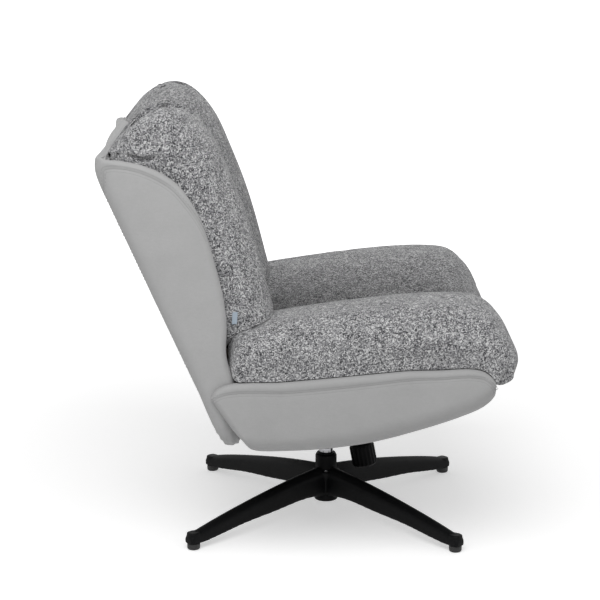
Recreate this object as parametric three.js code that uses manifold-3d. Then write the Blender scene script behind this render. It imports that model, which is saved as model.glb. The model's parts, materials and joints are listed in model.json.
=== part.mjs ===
// Star base swivel recliner: a two-lobed seat and back in padded shells, carried by a tilt
// mechanism that turns on a four-legged base. Millimetres, +Z up, +X to the sitter's front.
// The column axis is the origin while the pieces are made; the whole chair is centred at the end.
import * as THREE from "three";
import { mergeVertices } from "three/addons/utils/BufferGeometryUtils.js";
import Module from "manifold-3d";

const wasm = await Module();
wasm.setup();

// Clearances and shared settings
const fitGap = 0.35;
const runningGap = 0.6;
const clothGap = 0.75;
const cutOverrun = 2;
const padGap = 1;
const roundSides = 20;
const smallSides = 10;
const degree = Math.PI / 180;

// Base
const baseTurn = -3.6 * degree;
const legCount = 4;
const footCircle = 350;
const footRadius = 12.5;
const footHeight = 12;
const footSpigotRadius = 7;
const footSpigotHeight = 8;
const legTipTop = 29;
const legRootTop = 89;
const legRootBottom = 40;
const legArch = 9;
const legUnderArch = 6;
const legTipRise = 4;
const legTipWidth = 23.5;
const legRootWidth = 34;
const legRidgeShare = 0.5;
const legShoulderShare = 0.76;
const hubRadius = 26;
const hubTop = 84;
const hubBottom = 23;
const hubChamfer = 6;
const hubWebRadius = 52;
const hubWebTop = 66;
const hubWebBottom = 38;
const hubFloor = 16;

// Column, bearing and spindle
const columnRadius = 19.5;
const columnWall = 3;
const columnTop = 112;
const collarRadius = 21.5;
const collarTop = 116;
const collarLip = 3;
const collarRingRadius = 18.5;
const collarRingHeight = 2;
const raceHeight = 3;
const ballRadius = 2.4;
const ballCount = 9;
const bushTop = 110;
const bushBottom = 66;
const bushFlange = 2;
const spindleRadius = 10;
const spindleFootRadius = 7.5;
const spindleShoulderRadius = 13;
const spindleShoulderHeight = 4;
const washerThickness = 2;
const clipThickness = 1.6;
const clipRadius = 11;
const clipGrooveDepth = 1.5;
const socketBottom = 120;
const socketNeckHeight = 8;
const socketNeckRadius = 14;
const socketTopRadius = 24;
const taperLength = 34;
const taperDrop = 1.5;

// Tilt mechanism
const pivotX = -86;
const pivotZ = 252;
const tiltRange = 12 * degree;
const sheet = 4;
const bracketRear = -112;
const bracketFront = 86;
const bracketFloor = 160;
const bracketHalfWidth = 50;
const cheekRise = 22;
const cheekFrontTop = 214;
const cheekStepGap = 5;
const cheekBevel = 12;
const axleRadius = 7;
const axleStub = 7;
const bushWall = 2.5;
const axleClipRadius = 11;
const limitPinReach = 46;
const limitPinRadius = 4.5;
const limitPinStub = 3;
const limitSlotSteps = 9;
const plateFloor = 228;
const plateFloorRear = -22;
const plateFront = 134;
const plateRear = -112;
const plateTop = 284;
const plateEarDrop = 18;
const plateFlange = 34;
const stopPadLength = 34;
const stopPadRear = 44;
const boltRadius = 6;
const plateBoltInset = 15;
const plateBoltRadius = 4;
const plateBoltLength = 22;
const boltHeadRadius = 7;
const boltHeadHeight = 5;

// Tension knob, bolt and spring
const knobTilt = 11 * degree;
const knobX = 75;
const knobZ = 113;
const knobRadius = 25;
const knobHeight = 46;
const knobRibs = 18;
const knobRibDepth = 1.6;
const knobNeckRadius = 19;
const knobNeckHeight = 7;
const knobChamfer = 5;
const knobFlange = 2;
const bossRadius = 20;
const springRadius = 18;
const springWireRadius = 2.6;
const springTurns = 5;
const springSteps = 8;
const springSides = 5;
const springSeatHeight = 9;
const cupReach = 219;
const cupRadius = 23;
const cupThickness = 6;
const cupSkirt = 5;
const boltTopReach = 229;
const plateSlotRear = 15;
const plateSlotFront = 12;

// Seat shell, seen from the side: rear at the back corner, front at the nose
const seatHalfWidth = 356;
const seatShellRear = -226;
const seatShellFront = 326;
const seatShellBottom = 206;
const seatShellTop = 374;
const seatShellWall = 14;
const seatSquareness = 6;
const hollowSquareness = 4.2;
const seatFrontBow = 34;
const seatCornerRound = 24;
const floorSlotFront = 138;
const floorSlotRear = -142;
const floorSlotHalfWidth = 96;

// Seat cushion
const cushionRear = -206;
const cushionFront = 344;
const cushionBottom = 344;
const cushionTop = 486;
const cushionHalfWidth = 359;
const cushionRearHalfWidth = 302;
const cushionWidenStart = -200;
const cushionWidenEnd = -150;
const cushionSideRound = 66;
const seatValleyDepth = 30;
const seatCrestOffset = 212;
const seatCrown = 12;
const channelDepth = 12;
const channelReach = 30;
const seatDrawIn = 6;

// Back shell, seen from the side: rear line from the lower lump to the ears
const backEarX = -438;
const backEarZ = 762;
const backFootX = -217;
const backFootZ = 240;
const backLumpZ = 221;
const backRimBottomX = -168;
const backHalfWidth = 327;
const backBarrel = 8;
const backFootNarrowing = 34;
const backFootShare = 0.22;
const backTopCrown = 4;
const backShellWall = 16;
const backSquareness = 5.5;
const backInnerFloor = 246;
const earRound = 5;

// Back cushion
const backCushionHalfWidth = 306;
const backCushionBottom = 408;
const backCushionTop = 850;
const backCushionRear = -415;
const backCushionFront = -112;
const backSideRound = 136;
const backValleyDepth = 36;
const backDrawIn = 5;
const backCrestOffset = 168;

// Frames inside the shells
const railThickness = 24;
const railTop = 338;
const railBottom = 286;
const railRear = -158;
const railFront = 262;
const crossDepth = 30;
const crossTop = 312;
const springWire = 2;
const seatSpringCount = 4;
const seatSpringSpread = 400;
const seatSpringWaves = 6;
const seatSpringHalfWidth = 22;
const postRadius = 11;
const postOffset = 235;
const postLowX = -195;
const postLowZ = 282;
const postHighX = -383;
const postHighZ = 702;
const lowRailRise = 130;
const backBracketWidth = 26;
const backBracketFlange = 64;
const bracketBoltSpan = 20;
const webbingCount = 3;
const webbingWidth = 60;
const webbingThickness = 2;
const webbingStart = 175;
const webbingPitch = 95;
const webbingOverlap = 9;

// Finishes
const blackMetal = new THREE.MeshStandardMaterial({ color: 0x17181a, roughness: 0.45, metalness: 0.6 });
const blackPlastic = new THREE.MeshStandardMaterial({ color: 0x141415, roughness: 0.5, metalness: 0 });
const chrome = new THREE.MeshStandardMaterial({ color: 0xc9ccd0, roughness: 0.15, metalness: 1 });
const zincSteel = new THREE.MeshStandardMaterial({ color: 0x9a9c9e, roughness: 0.4, metalness: 0.9 });
const springSteel = new THREE.MeshStandardMaterial({ color: 0x3c3e42, roughness: 0.4, metalness: 0.9 });
const nylon = new THREE.MeshStandardMaterial({ color: 0xd8d6cc, roughness: 0.6, metalness: 0 });
const rubber = new THREE.MeshStandardMaterial({ color: 0x1b1b1b, roughness: 0.9, metalness: 0 });
const beech = new THREE.MeshStandardMaterial({ color: 0xc9a574, roughness: 0.7, metalness: 0 });
const elastic = new THREE.MeshStandardMaterial({ color: 0x2b2b2d, roughness: 0.95, metalness: 0 });
const greyLeather = new THREE.MeshStandardMaterial({ color: 0xa9a9a9, roughness: 0.62, metalness: 0 });
const greyTweed = new THREE.MeshStandardMaterial({ color: 0x8d8d8d, roughness: 0.95, metalness: 0 });

// Closed solids: welding, joining and cutting

// Faces of a welded, closed mesh, with the slivers at a lathe's poles left out.
function weld(geometry) {
  const bare = new THREE.BufferGeometry();
  bare.setAttribute("position", geometry.getAttribute("position"));
  bare.setIndex(geometry.index);
  const welded = mergeVertices(bare);
  const faces = [];
  for (let at = 0; at < welded.index.count; at += 3) {
    const [a, b, c] = [0, 1, 2].map((corner) => welded.index.getX(at + corner));
    if (a !== b && b !== c && c !== a) faces.push(a, b, c);
  }
  welded.setIndex(faces);
  return outward(welded);
}

// Turns every face over when the enclosed volume comes out negative.
function outward(geometry) {
  const place = geometry.getAttribute("position");
  const faces = Array.from(geometry.index.array);
  const corner = [new THREE.Vector3(), new THREE.Vector3(), new THREE.Vector3()];
  let volume = 0;
  for (let at = 0; at < faces.length; at += 3) {
    corner.forEach((point, step) => point.fromBufferAttribute(place, faces[at + step]));
    volume += corner[0].dot(corner[1].clone().cross(corner[2]));
  }
  if (volume < 0) faces.reverse();
  geometry.setIndex(faces);
  return geometry;
}

function solid(geometry) {
  const welded = weld(geometry);
  return new wasm.Manifold(new wasm.Mesh({
    numProp: 3,
    vertProperties: new Float32Array(welded.getAttribute("position").array),
    triVerts: new Uint32Array(welded.index.array),
  }));
}

function joined(first, ...others) {
  return others.reduce((body, other) => body.add(other), first);
}

function cut(first, ...tools) {
  return tools.reduce((body, tool) => body.subtract(tool), first);
}

function geometryOf(body) {
  const mesh = body.getMesh();
  const geometry = new THREE.BufferGeometry();
  geometry.setAttribute("position", new THREE.BufferAttribute(mesh.vertProperties, mesh.numProp));
  geometry.setIndex(new THREE.BufferAttribute(mesh.triVerts, 1));
  return geometry;
}

function part(name, shape, finish, parent) {
  const geometry = shape.isBufferGeometry ? weld(shape) : geometryOf(shape);
  geometry.computeVertexNormals();
  const mesh = new THREE.Mesh(geometry, finish.clone());
  mesh.name = name;
  parent.add(mesh);
  return mesh;
}

// Plain shapes

function block([x0, x1], [y0, y1], [z0, z1]) {
  const box = new THREE.BoxGeometry(x1 - x0, y1 - y0, z1 - z0);
  return box.translate((x0 + x1) / 2, (y0 + y1) / 2, (z0 + z1) / 2);
}

// The two sides of the chair, and the span between two distances from its middle on one side.
const sides = [[1, "left"], [-1, "right"]];

function acrossOn(side, near, far) {
  return side > 0 ? [near, far] : [-far, -near];
}

// A profile of [radius, height] pairs turned round the vertical axis.
function turned(profile, sides = roundSides) {
  const points = profile.map(([radius, height]) => new THREE.Vector2(radius, height));
  return new THREE.LatheGeometry(points, sides).rotateX(Math.PI / 2);
}

// A ring with a rectangular section.
function ring(inner, outer, bottom, top, sides = roundSides) {
  return turned([[inner, bottom], [outer, bottom], [outer, top], [inner, top], [inner, bottom]], sides);
}

function pin(radius, bottom, top, sides = roundSides) {
  return turned([[0, bottom], [radius, bottom], [radius, top], [0, top]], sides);
}

// A rod across the chair at one place of its side view.
function crossRod(x, z, radius, y0, y1, sides = roundSides) {
  const rod = new THREE.CylinderGeometry(radius, radius, y1 - y0, sides);
  return rod.translate(x, (y0 + y1) / 2, z);
}

// A plate cut to an outline of [x, z] pairs, lying between y0 and y1.
function sidePlate(outline, y0, y1) {
  const shape = new THREE.Shape(outline.map(([x, z]) => new THREE.Vector2(x, z)));
  const plate = new THREE.ExtrudeGeometry(shape, { depth: y1 - y0, bevelEnabled: false });
  return plate.rotateX(Math.PI / 2).translate(0, y1, 0);
}

// A round bar carried along a curve.
function tube(curve, radius, sides, steps) {
  const rim = Array.from({ length: sides }, (_, side) => {
    const angle = side / sides * 2 * Math.PI;
    return new THREE.Vector2(radius * Math.cos(angle), radius * Math.sin(angle));
  });
  const options = { steps, bevelEnabled: false, extrudePath: curve };
  return new THREE.ExtrudeGeometry(new THREE.Shape(rim), options);
}

// Rings of equal length joined into a closed skin, each end closed by a flat face. The rings
// lie across Y, so their [x, z] places give the end faces.
function loft(rings) {
  const count = rings[0].length;
  const faces = [];
  for (let row = 0; row + 1 < rings.length; row += 1) {
    for (let column = 0; column < count; column += 1) {
      const next = (column + 1) % count;
      const [a, b] = [row * count + column, row * count + next];
      faces.push(a, b, b + count, a, b + count, a + count);
    }
  }
  const addEnd = (row, flip) => {
    const flat = rings[row].map((point) => new THREE.Vector2(point.x, point.z));
    const corners = THREE.ShapeUtils.triangulateShape(flat, []);
    const covered = corners.reduce((sum, face) => sum + THREE.ShapeUtils.area(face.map((at) => flat[at])), 0);
    const keep = covered * THREE.ShapeUtils.area(flat) * flip > 0;
    for (const [a, b, c] of corners) {
      const order = keep ? [a, b, c] : [a, c, b];
      faces.push(...order.map((index) => index + row * count));
    }
  };
  addEnd(0, -1);
  addEnd(rings.length - 1, 1);
  const geometry = new THREE.BufferGeometry();
  const places = rings.flat().flatMap((point) => [point.x, point.y, point.z]);
  geometry.setAttribute("position", new THREE.Float32BufferAttribute(places, 3));
  geometry.setIndex(faces);
  return geometry;
}

function smooth(value, start, end) {
  return THREE.MathUtils.smoothstep(value, start, end);
}

// Even points on a closed or open curve through [x, z] pairs.
function curvePoints(pairs, count, closed) {
  const points = pairs.map(([x, z]) => new THREE.Vector3(x, 0, z));
  const curve = new THREE.CatmullRomCurve3(points, closed, "centripetal");
  const spaced = curve.getSpacedPoints(closed ? count : count - 1);
  return closed ? spaced.slice(0, count) : spaced;
}

// Height of a line through [x, z] pairs, which run in order of x.
function heightOn(pairs, x) {
  const after = pairs.findIndex(([place]) => place >= x);
  if (after === 0) return pairs[0][1];
  if (after < 0) return pairs[pairs.length - 1][1];
  const [[x0, z0], [x1, z1]] = [pairs[after - 1], pairs[after]];
  return z0 + (z1 - z0) * (x - x0) / (x1 - x0);
}

// Places across a rounded body: how full the section still is at each place, from 1 at the
// middle down to the last share at the side. The side follows |y|^n + full^n = 1.
const fullnessShares = [1, 0.985, 0.94, 0.86, 0.74, 0.58, 0.38, 0.16];
const innerStationShares = [0, 0.35];

function stationsAcross(squareness) {
  const side = fullnessShares.map((full) => [(1 - full ** squareness) ** (1 / squareness), full]);
  const flat = innerStationShares.map((place) => [place, 1]);
  const half = [...flat, ...side.slice(1)];
  const other = half.slice(1).reverse().map(([place, full]) => [-place, full]);
  return [...other, ...half];
}

// Base

const columnBottom = hubBottom + hubFloor;
const chairBase = new THREE.Group();
chairBase.rotation.z = baseTurn;

// One leg: a ridge-topped bar whose sections run from the hub out to the foot. Its upper edge
// rises over a straight line by a flat arch, and its underside follows the same arch.
const legSideShares = [0, 0.2, 0.45, 0.7, 0.9, 1];

function legShape() {
  const rings = legSideShares.map((share) => {
    const reach = footCircle * share;
    const arch = Math.sin(share * Math.PI);
    const top = THREE.MathUtils.lerp(legRootTop, legTipTop, share) + legArch * arch;
    const tipBottom = footHeight + legTipRise;
    const bottom = THREE.MathUtils.lerp(legRootBottom, tipBottom, share) + legUnderArch * arch;
    const half = THREE.MathUtils.lerp(legRootWidth, legTipWidth, share) / 2;
    const shoulder = THREE.MathUtils.lerp(bottom, top, legShoulderShare);
    return [
      [-half, bottom], [half, bottom], [half, shoulder],
      [half * legRidgeShare, top], [-half * legRidgeShare, top], [-half, shoulder],
    ].map(([side, height]) => new THREE.Vector3(side, reach, height));
  });
  return loft(rings);
}

function legWeb() {
  const depth = hubWebTop - hubWebBottom;
  const web = new THREE.CylinderGeometry(hubWebRadius, hubWebRadius, depth, legCount);
  return web.rotateX(Math.PI / 2).rotateZ(Math.PI / 4).translate(0, 0, hubWebBottom + depth / 2);
}

function legFoot() {
  const boss = pin(footRadius, footHeight + fitGap, legTipTop - legTipRise / 2);
  const socket = pin(footSpigotRadius + fitGap, footHeight, footHeight + footSpigotHeight + fitGap);
  return [boss, socket].map((shape) => solid(shape.translate(0, footCircle, 0)));
}

function starBase() {
  const hub = solid(turned([
    [0, hubBottom], [hubRadius - hubChamfer, hubBottom], [hubRadius, hubBottom + hubChamfer],
    [hubRadius, hubTop], [0, hubTop],
  ]));
  let casting = joined(hub, solid(legWeb()));
  const sockets = [];
  const trim = solid(pin(footCircle + footRadius, 0, legRootTop + legArch, 2 * roundSides));
  const leg = solid(legShape()).intersect(trim);
  const [boss, socket] = legFoot();
  for (let index = 0; index < legCount; index += 1) {
    const turn = [0, 0, 45 + 360 / legCount * index];
    casting = joined(casting, leg.rotate(turn), boss.rotate(turn));
    sockets.push(socket.rotate(turn));
  }
  const above = solid(pin(hubRadius, hubTop, legRootTop + legArch));
  const bore = solid(pin(columnRadius + fitGap, columnBottom, legRootTop + legArch));
  const drill = solid(pin(spindleFootRadius + runningGap, 0, columnBottom + cutOverrun));
  return cut(casting, above, bore, drill, ...sockets);
}

function footGlide() {
  return turned([
    [0, 0], [footRadius - padGap, 0], [footRadius, padGap], [footRadius, footHeight],
    [footSpigotRadius, footHeight], [footSpigotRadius, footHeight + footSpigotHeight],
    [0, footHeight + footSpigotHeight],
  ], smallSides).translate(0, footCircle, 0);
}

const columnInner = columnRadius - columnWall;
const raceOuter = columnInner - fitGap;
const lowerRaceTop = columnBottom + fitGap + raceHeight;
const ballCentre = lowerRaceTop + fitGap + ballRadius;
const upperRaceBottom = ballCentre + ballRadius + fitGap;
const upperRaceTop = upperRaceBottom + raceHeight;

function columnTube() {
  return ring(columnInner, columnRadius, columnBottom + fitGap, columnTop);
}

// Balls in their cage: a thin ring that each ball passes through.
function bearingBalls() {
  const pitch = (raceOuter + spindleFootRadius + runningGap) / 2;
  const cageHalf = ballRadius / 4;
  const cageWidth = ballRadius / 2;
  const cage = ring(pitch - cageWidth, pitch + cageWidth, ballCentre - cageHalf, ballCentre + cageHalf);
  let body = solid(cage);
  const ball = new THREE.SphereGeometry(ballRadius, 6, 4).rotateX(Math.PI / 2);
  const one = solid(ball.translate(pitch, 0, ballCentre));
  for (let index = 0; index < ballCount; index += 1) {
    body = body.add(one.rotate([0, 0, 360 / ballCount * index]));
  }
  return body;
}

function columnBush() {
  const bore = spindleRadius + fitGap;
  const flangeTop = bushTop + bushFlange;
  return turned([
    [bore, bushBottom], [raceOuter, bushBottom], [raceOuter, flangeTop], [bore, flangeTop],
    [bore, bushBottom],
  ]);
}

function collarCap() {
  const inner = columnRadius + fitGap;
  const roof = columnTop + fitGap + collarLip / 2;
  const hole = spindleRadius + runningGap;
  return turned([
    [inner, hubTop + fitGap], [collarRadius, hubTop + fitGap], [collarRadius, collarTop - padGap],
    [collarRadius - padGap, collarTop], [hole, collarTop], [hole, roof - collarLip / 2 + bushFlange],
    [inner, roof - collarLip / 2 + bushFlange], [inner, hubTop + fitGap],
  ]);
}

const washerTop = hubBottom - fitGap;
const clipTop = washerTop - washerThickness - fitGap;
const clipBottom = clipTop - clipThickness;
const spindleBottom = clipBottom - clipThickness;
const socketRoof = bracketFloor;
const taperTop = socketRoof - fitGap;

// Turning spindle: a stepped shaft with a shoulder on the bearing, and a taper at the top.
function spindle() {
  const groove = spindleFootRadius - clipGrooveDepth;
  const shoulderBottom = upperRaceTop + fitGap;
  const shoulderTop = shoulderBottom + spindleShoulderHeight;
  return turned([
    [0, spindleBottom], [spindleFootRadius, spindleBottom], [spindleFootRadius, clipBottom - fitGap],
    [groove, clipBottom - fitGap], [groove, clipTop + fitGap], [spindleFootRadius, clipTop + fitGap],
    [spindleFootRadius, shoulderBottom], [spindleShoulderRadius, shoulderBottom],
    [spindleShoulderRadius, shoulderTop], [spindleRadius, shoulderTop],
    [spindleRadius, taperTop - taperLength], [spindleRadius - taperDrop, taperTop], [0, taperTop],
  ]);
}

part("star_base", starBase(), blackMetal, chairBase);
for (let index = 0; index < legCount; index += 1) {
  const glide = part(`foot_glide_${index + 1}`, footGlide(), blackPlastic, chairBase);
  glide.rotation.z = (45 + 360 / legCount * index) * degree;
}
part("column_tube", columnTube(), zincSteel, chairBase);
part("collar_cap", collarCap(), blackPlastic, chairBase);
const ringBottom = collarTop + fitGap;
const collarRing = ring(spindleRadius + runningGap, collarRingRadius, ringBottom, ringBottom + collarRingHeight);
part("collar_ring", collarRing, chrome, chairBase);
part("column_bush", columnBush(), nylon, chairBase);
const footBore = spindleFootRadius + runningGap;
const lowerRace = ring(footBore, raceOuter, columnBottom + fitGap, lowerRaceTop);
const upperRace = ring(footBore, raceOuter, upperRaceBottom, upperRaceTop);
part("bearing_lower_race", lowerRace, zincSteel, chairBase);
part("bearing_balls", bearingBalls(), chrome, chairBase);
part("bearing_upper_race", upperRace, zincSteel, chairBase);
const washerRadius = clipRadius + padGap;
part("spindle_washer", ring(footBore, washerRadius, washerTop - washerThickness, washerTop), nylon, chairBase);

// Turning mechanism

const mechanism = new THREE.Group();
part("spindle", spindle(), chrome, mechanism);
const clipBore = spindleFootRadius - clipGrooveDepth + fitGap;
part("spindle_clip", ring(clipBore, clipRadius, clipBottom, clipTop), springSteel, mechanism);

// Places along the tension bolt, from the knob's middle upwards.
const boltLean = new THREE.Vector3(-Math.sin(knobTilt), 0, Math.cos(knobTilt));

function alongBolt(geometry) {
  return geometry.rotateY(-knobTilt).translate(knobX, 0, knobZ);
}

const floorReach = (bracketFloor - knobZ) / Math.cos(knobTilt);
const knobTopReach = knobHeight / 2 + knobNeckHeight;
const bossReach = knobTopReach + washerThickness + 2 * fitGap;

// Folded bracket: a floor, two cheeks that carry the pivot axle, a boss square to the tension
// bolt, and the tapered socket under the floor.
function baseBracket() {
  const rise = pivotZ + cheekRise;
  const step = plateFloorRear - cheekStepGap;
  const cheek = [
    [bracketRear, bracketFloor], [bracketFront, bracketFloor], [bracketFront, cheekFrontTop],
    [step, cheekFrontTop], [step, rise - cheekBevel], [step - cheekBevel, rise], [bracketRear, rise],
  ];
  const half = bracketHalfWidth;
  const left = solid(sidePlate(cheek, half - sheet, half));
  const right = solid(sidePlate(cheek, -half, sheet - half));
  const floorTop = bracketFloor + sheet;
  const floor = solid(block([bracketRear, bracketFront], [-half, half], [bracketFloor, floorTop]));
  const boss = solid(alongBolt(pin(bossRadius, bossReach, floorReach + bossRadius)));
  const room = solid(block([bracketRear, bracketFront], [-half, half], [knobZ, floorTop]));
  const socket = solid(turned([
    [0, socketBottom], [socketNeckRadius, socketBottom],
    [socketNeckRadius, socketBottom + socketNeckHeight], [socketTopRadius, bracketFloor + sheet / 2],
    [0, bracketFloor + sheet / 2],
  ]));
  const taper = solid(turned([
    [0, socketBottom - cutOverrun], [spindleRadius + fitGap, socketBottom - cutOverrun],
    [spindleRadius - taperDrop + 2 * fitGap, taperTop + fitGap], [0, taperTop + fitGap],
  ]));
  const axleHole = solid(crossRod(pivotX, pivotZ, axleRadius + bushWall + fitGap, -2 * half, 2 * half));
  const pinHole = solid(crossRod(pivotX + limitPinReach, pivotZ, limitPinRadius + fitGap, -2 * half, 2 * half));
  const boltHole = solid(alongBolt(pin(boltRadius + runningGap, 0, floorReach + bossRadius)));
  return cut(joined(left, right, floor, socket, boss.intersect(room)), taper, axleHole, pinHole, boltHole);
}

part("base_bracket", baseBracket(), blackMetal, mechanism);

const earInner = bracketHalfWidth + runningGap;
const earOuter = earInner + sheet;
const axleHalf = earOuter + axleStub;

// A disc round the axle, on one side of the chair, between two distances from its middle.
function axleDisc(side, radius, near, far) {
  const [y0, y1] = acrossOn(side, near, far);
  const bore = crossRod(pivotX, pivotZ, axleRadius + fitGap, y0 - cutOverrun, y1 + cutOverrun);
  return cut(solid(crossRod(pivotX, pivotZ, radius, y0, y1)), solid(bore));
}

// Rubber pad on a cheek, under the floor of the seat plate at rest.
function stopPad(side) {
  const rear = bracketFront - stopPadRear;
  const across = acrossOn(side, bracketHalfWidth - 2 * sheet, bracketHalfWidth);
  return block([rear, rear + stopPadLength], across, [cheekFrontTop + fitGap, plateFloor - fitGap]);
}

for (const [side, label] of sides) {
  const bush = axleDisc(side, axleRadius + bushWall, bracketHalfWidth - sheet, bracketHalfWidth);
  const clip = axleDisc(side, axleClipRadius, earOuter + fitGap, earOuter + fitGap + clipThickness);
  part(`pivot_bush_${label}`, bush, nylon, mechanism);
  part(`axle_clip_${label}`, clip, springSteel, mechanism);
  part(`stop_pad_${label}`, stopPad(side), rubber, mechanism);
}
part("pivot_axle", crossRod(pivotX, pivotZ, axleRadius, -axleHalf, axleHalf), zincSteel, mechanism);

const limitHalf = earOuter + limitPinStub;
const limitPin = crossRod(pivotX + limitPinReach, pivotZ, limitPinRadius, -limitHalf, limitHalf, smallSides);
part("limit_pin", limitPin, zincSteel, mechanism);

const knobWasher = ring(boltRadius + fitGap, knobNeckRadius, knobTopReach + fitGap, knobTopReach + fitGap + washerThickness);
part("knob_washer", alongBolt(knobWasher), nylon, mechanism);

// Tension knob with its bolt, and the cup that the bolt draws down on the spring

const tension = new THREE.Group();

function knobShape() {
  const half = knobHeight / 2;
  const rim = new THREE.Shape();
  for (let step = 0; step < 2 * knobRibs; step += 1) {
    const radius = knobRadius - (step % 2) * knobRibDepth;
    const angle = step / knobRibs * Math.PI;
    const place = [radius * Math.cos(angle), radius * Math.sin(angle)];
    if (step === 0) rim.moveTo(...place);
    else rim.lineTo(...place);
  }
  const ribbed = new THREE.ExtrudeGeometry(rim, { depth: knobHeight, bevelEnabled: false });
  const body = solid(ribbed.translate(0, 0, -half));
  const trim = solid(turned([
    [0, -half], [knobRadius - knobChamfer, -half], [knobRadius, knobChamfer - half],
    [knobRadius, half - knobChamfer], [knobRadius - knobFlange, half],
    [knobNeckRadius, half], [knobNeckRadius, half + knobNeckHeight], [0, half + knobNeckHeight],
  ]));
  const neck = solid(pin(knobNeckRadius, half - knobChamfer, half + knobNeckHeight));
  const bore = solid(pin(boltRadius + fitGap, knobChamfer - half, half + knobNeckHeight + cutOverrun));
  return cut(body.intersect(trim).add(neck), bore);
}

part("tension_knob", alongBolt(geometryOf(knobShape())), blackPlastic, tension);
const boltBottom = knobChamfer - knobHeight / 2 + fitGap;
part("tension_bolt", alongBolt(pin(boltRadius, boltBottom, boltTopReach, smallSides)), zincSteel, tension);

function springCup() {
  const bore = boltRadius + fitGap;
  const under = cupReach - cupSkirt;
  const skirtInner = springRadius + springWireRadius + runningGap;
  return alongBolt(turned([
    [bore, cupReach], [skirtInner, cupReach], [skirtInner, under], [cupRadius, under],
    [cupRadius, cupReach + cupThickness], [bore, cupReach + cupThickness], [bore, cupReach],
  ]));
}

part("spring_cup", springCup(), zincSteel, tension);

// Tilting seat and back

const tilting = new THREE.Group();

// Channel that turns on the axle: two ears, a floor with a slot for the bolt, and two flanges
// under the cross members.
function seatPlate() {
  const drop = pivotZ - plateEarDrop;
  const ear = [
    [plateRear, drop], [plateFloorRear, plateFloor], [plateFront, plateFloor],
    [plateFront, plateTop], [plateRear, plateTop],
  ];
  const left = solid(sidePlate(ear, earInner, earOuter));
  const right = solid(sidePlate(ear, -earOuter, -earInner));
  const floor = solid(block([plateFloorRear, plateFront], [-earOuter, earOuter], [plateFloor, plateFloor + sheet]));
  const wing = earOuter + plateFlange;
  const flanges = [1, -1].map((side) => {
    const across = acrossOn(side, earInner, wing);
    return solid(block([plateRear, plateFront], across, [plateTop - sheet, plateTop]));
  });
  const axleHole = solid(crossRod(pivotX, pivotZ, axleRadius + fitGap, -wing, wing));
  const slots = Array.from({ length: limitSlotSteps }, (_, step) => {
    const angle = -tiltRange * step / (limitSlotSteps - 1);
    const x = pivotX + limitPinReach * Math.cos(angle);
    const z = pivotZ + limitPinReach * Math.sin(angle);
    return solid(crossRod(x, z, limitPinRadius + runningGap, -wing, wing, smallSides));
  });
  const boltX = knobX + boltLean.x * (plateFloor - knobZ) / boltLean.z;
  const slotHalf = boltRadius + 2 * runningGap;
  const boltSlot = solid(block(
    [boltX - plateSlotRear, boltX + plateSlotFront], [-slotHalf, slotHalf],
    [plateFloor - cutOverrun, plateFloor + sheet + cutOverrun],
  ));
  return cut(joined(left, right, floor, ...flanges), axleHole, ...slots, boltSlot, ...boltHoles());
}

const crossRearX = plateRear + crossDepth / 2;
const crossFrontX = plateFront - crossDepth / 2;

function boltPlaces() {
  const reach = earOuter + plateFlange - plateBoltInset;
  return [crossRearX, crossFrontX].flatMap((x) => [[x, reach], [x, -reach]]);
}

function boltHoles() {
  return boltPlaces().map(([x, y]) => {
    const top = plateTop + plateBoltLength;
    const hole = pin(plateBoltRadius + fitGap, plateTop - 2 * sheet, top, smallSides);
    return solid(hole.translate(x, y, 0));
  });
}

function plateBolt([x, y]) {
  const under = plateTop - sheet - fitGap;
  return turned([
    [0, under - boltHeadHeight], [boltHeadRadius, under - boltHeadHeight], [boltHeadRadius, under],
    [plateBoltRadius, under], [plateBoltRadius, under + plateBoltLength], [0, under + plateBoltLength],
  ], smallSides).translate(x, y, 0);
}

part("seat_plate", seatPlate(), blackMetal, tilting);
boltPlaces().forEach((place, index) => {
  part(`plate_bolt_${index + 1}`, plateBolt(place), zincSteel, tilting);
});

// Lower seat of the spring: its foot lies on the plate's floor and its top is square to the bolt.
const plateFloorTop = plateFloor + sheet;
const seatReach = (plateFloorTop - knobZ) / boltLean.z;

function springSeat() {
  const top = seatReach + springSeatHeight;
  const body = alongBolt(pin(cupRadius, seatReach - cupRadius, top));
  const bore = boltRadius + plateSlotFront / 2 + padGap;
  const hole = alongBolt(pin(bore, seatReach - 2 * cupRadius, top + cutOverrun));
  const under = block(
    [-plateFront, plateFront], [-cupRadius - cutOverrun, cupRadius + cutOverrun],
    [plateFloor - 2 * cupRadius, plateFloorTop + fitGap],
  );
  return cut(solid(body), solid(hole), solid(under));
}

part("spring_seat", springSeat(), nylon, tilting);

// Tension spring: one wire in an even helix round the bolt.
const coilBottom = seatReach + springSeatHeight + fitGap + springWireRadius;
const coilTop = cupReach - fitGap - springWireRadius;

class Coil extends THREE.Curve {
  getPoint(share, target = new THREE.Vector3()) {
    const angle = share * springTurns * 2 * Math.PI;
    const height = THREE.MathUtils.lerp(coilBottom, coilTop, share);
    return target.set(springRadius * Math.cos(angle), springRadius * Math.sin(angle), height);
  }
}

// Least clear distance between turns, measured between points of neighbouring turns.
function coilGap() {
  const points = new Coil().getPoints(springTurns * springSteps);
  let least = Infinity;
  points.forEach((point, index) => {
    points.slice(index + springSteps / 2).forEach((other) => {
      least = Math.min(least, point.distanceTo(other));
    });
  });
  return least - 2 * springWireRadius;
}

const coil = tube(new Coil(), springWireRadius, springSides, springTurns * springSteps);
console.log(`tension spring: least gap between turns ${coilGap().toFixed(2)} mm`);
part("tension_spring", alongBolt(coil), springSteel, tension);

// Seat shell

// Top edge of the shell, from the rear corner to the nose.
const seatTopShares = [
  [0, 0.72], [0.022, 0.82], [0.07, 0.875], [0.2, 0.885], [0.535, 0.97], [0.64, 1], [0.86, 1],
  [0.93, 0.965], [0.975, 0.88], [1, 0.75],
];
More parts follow.
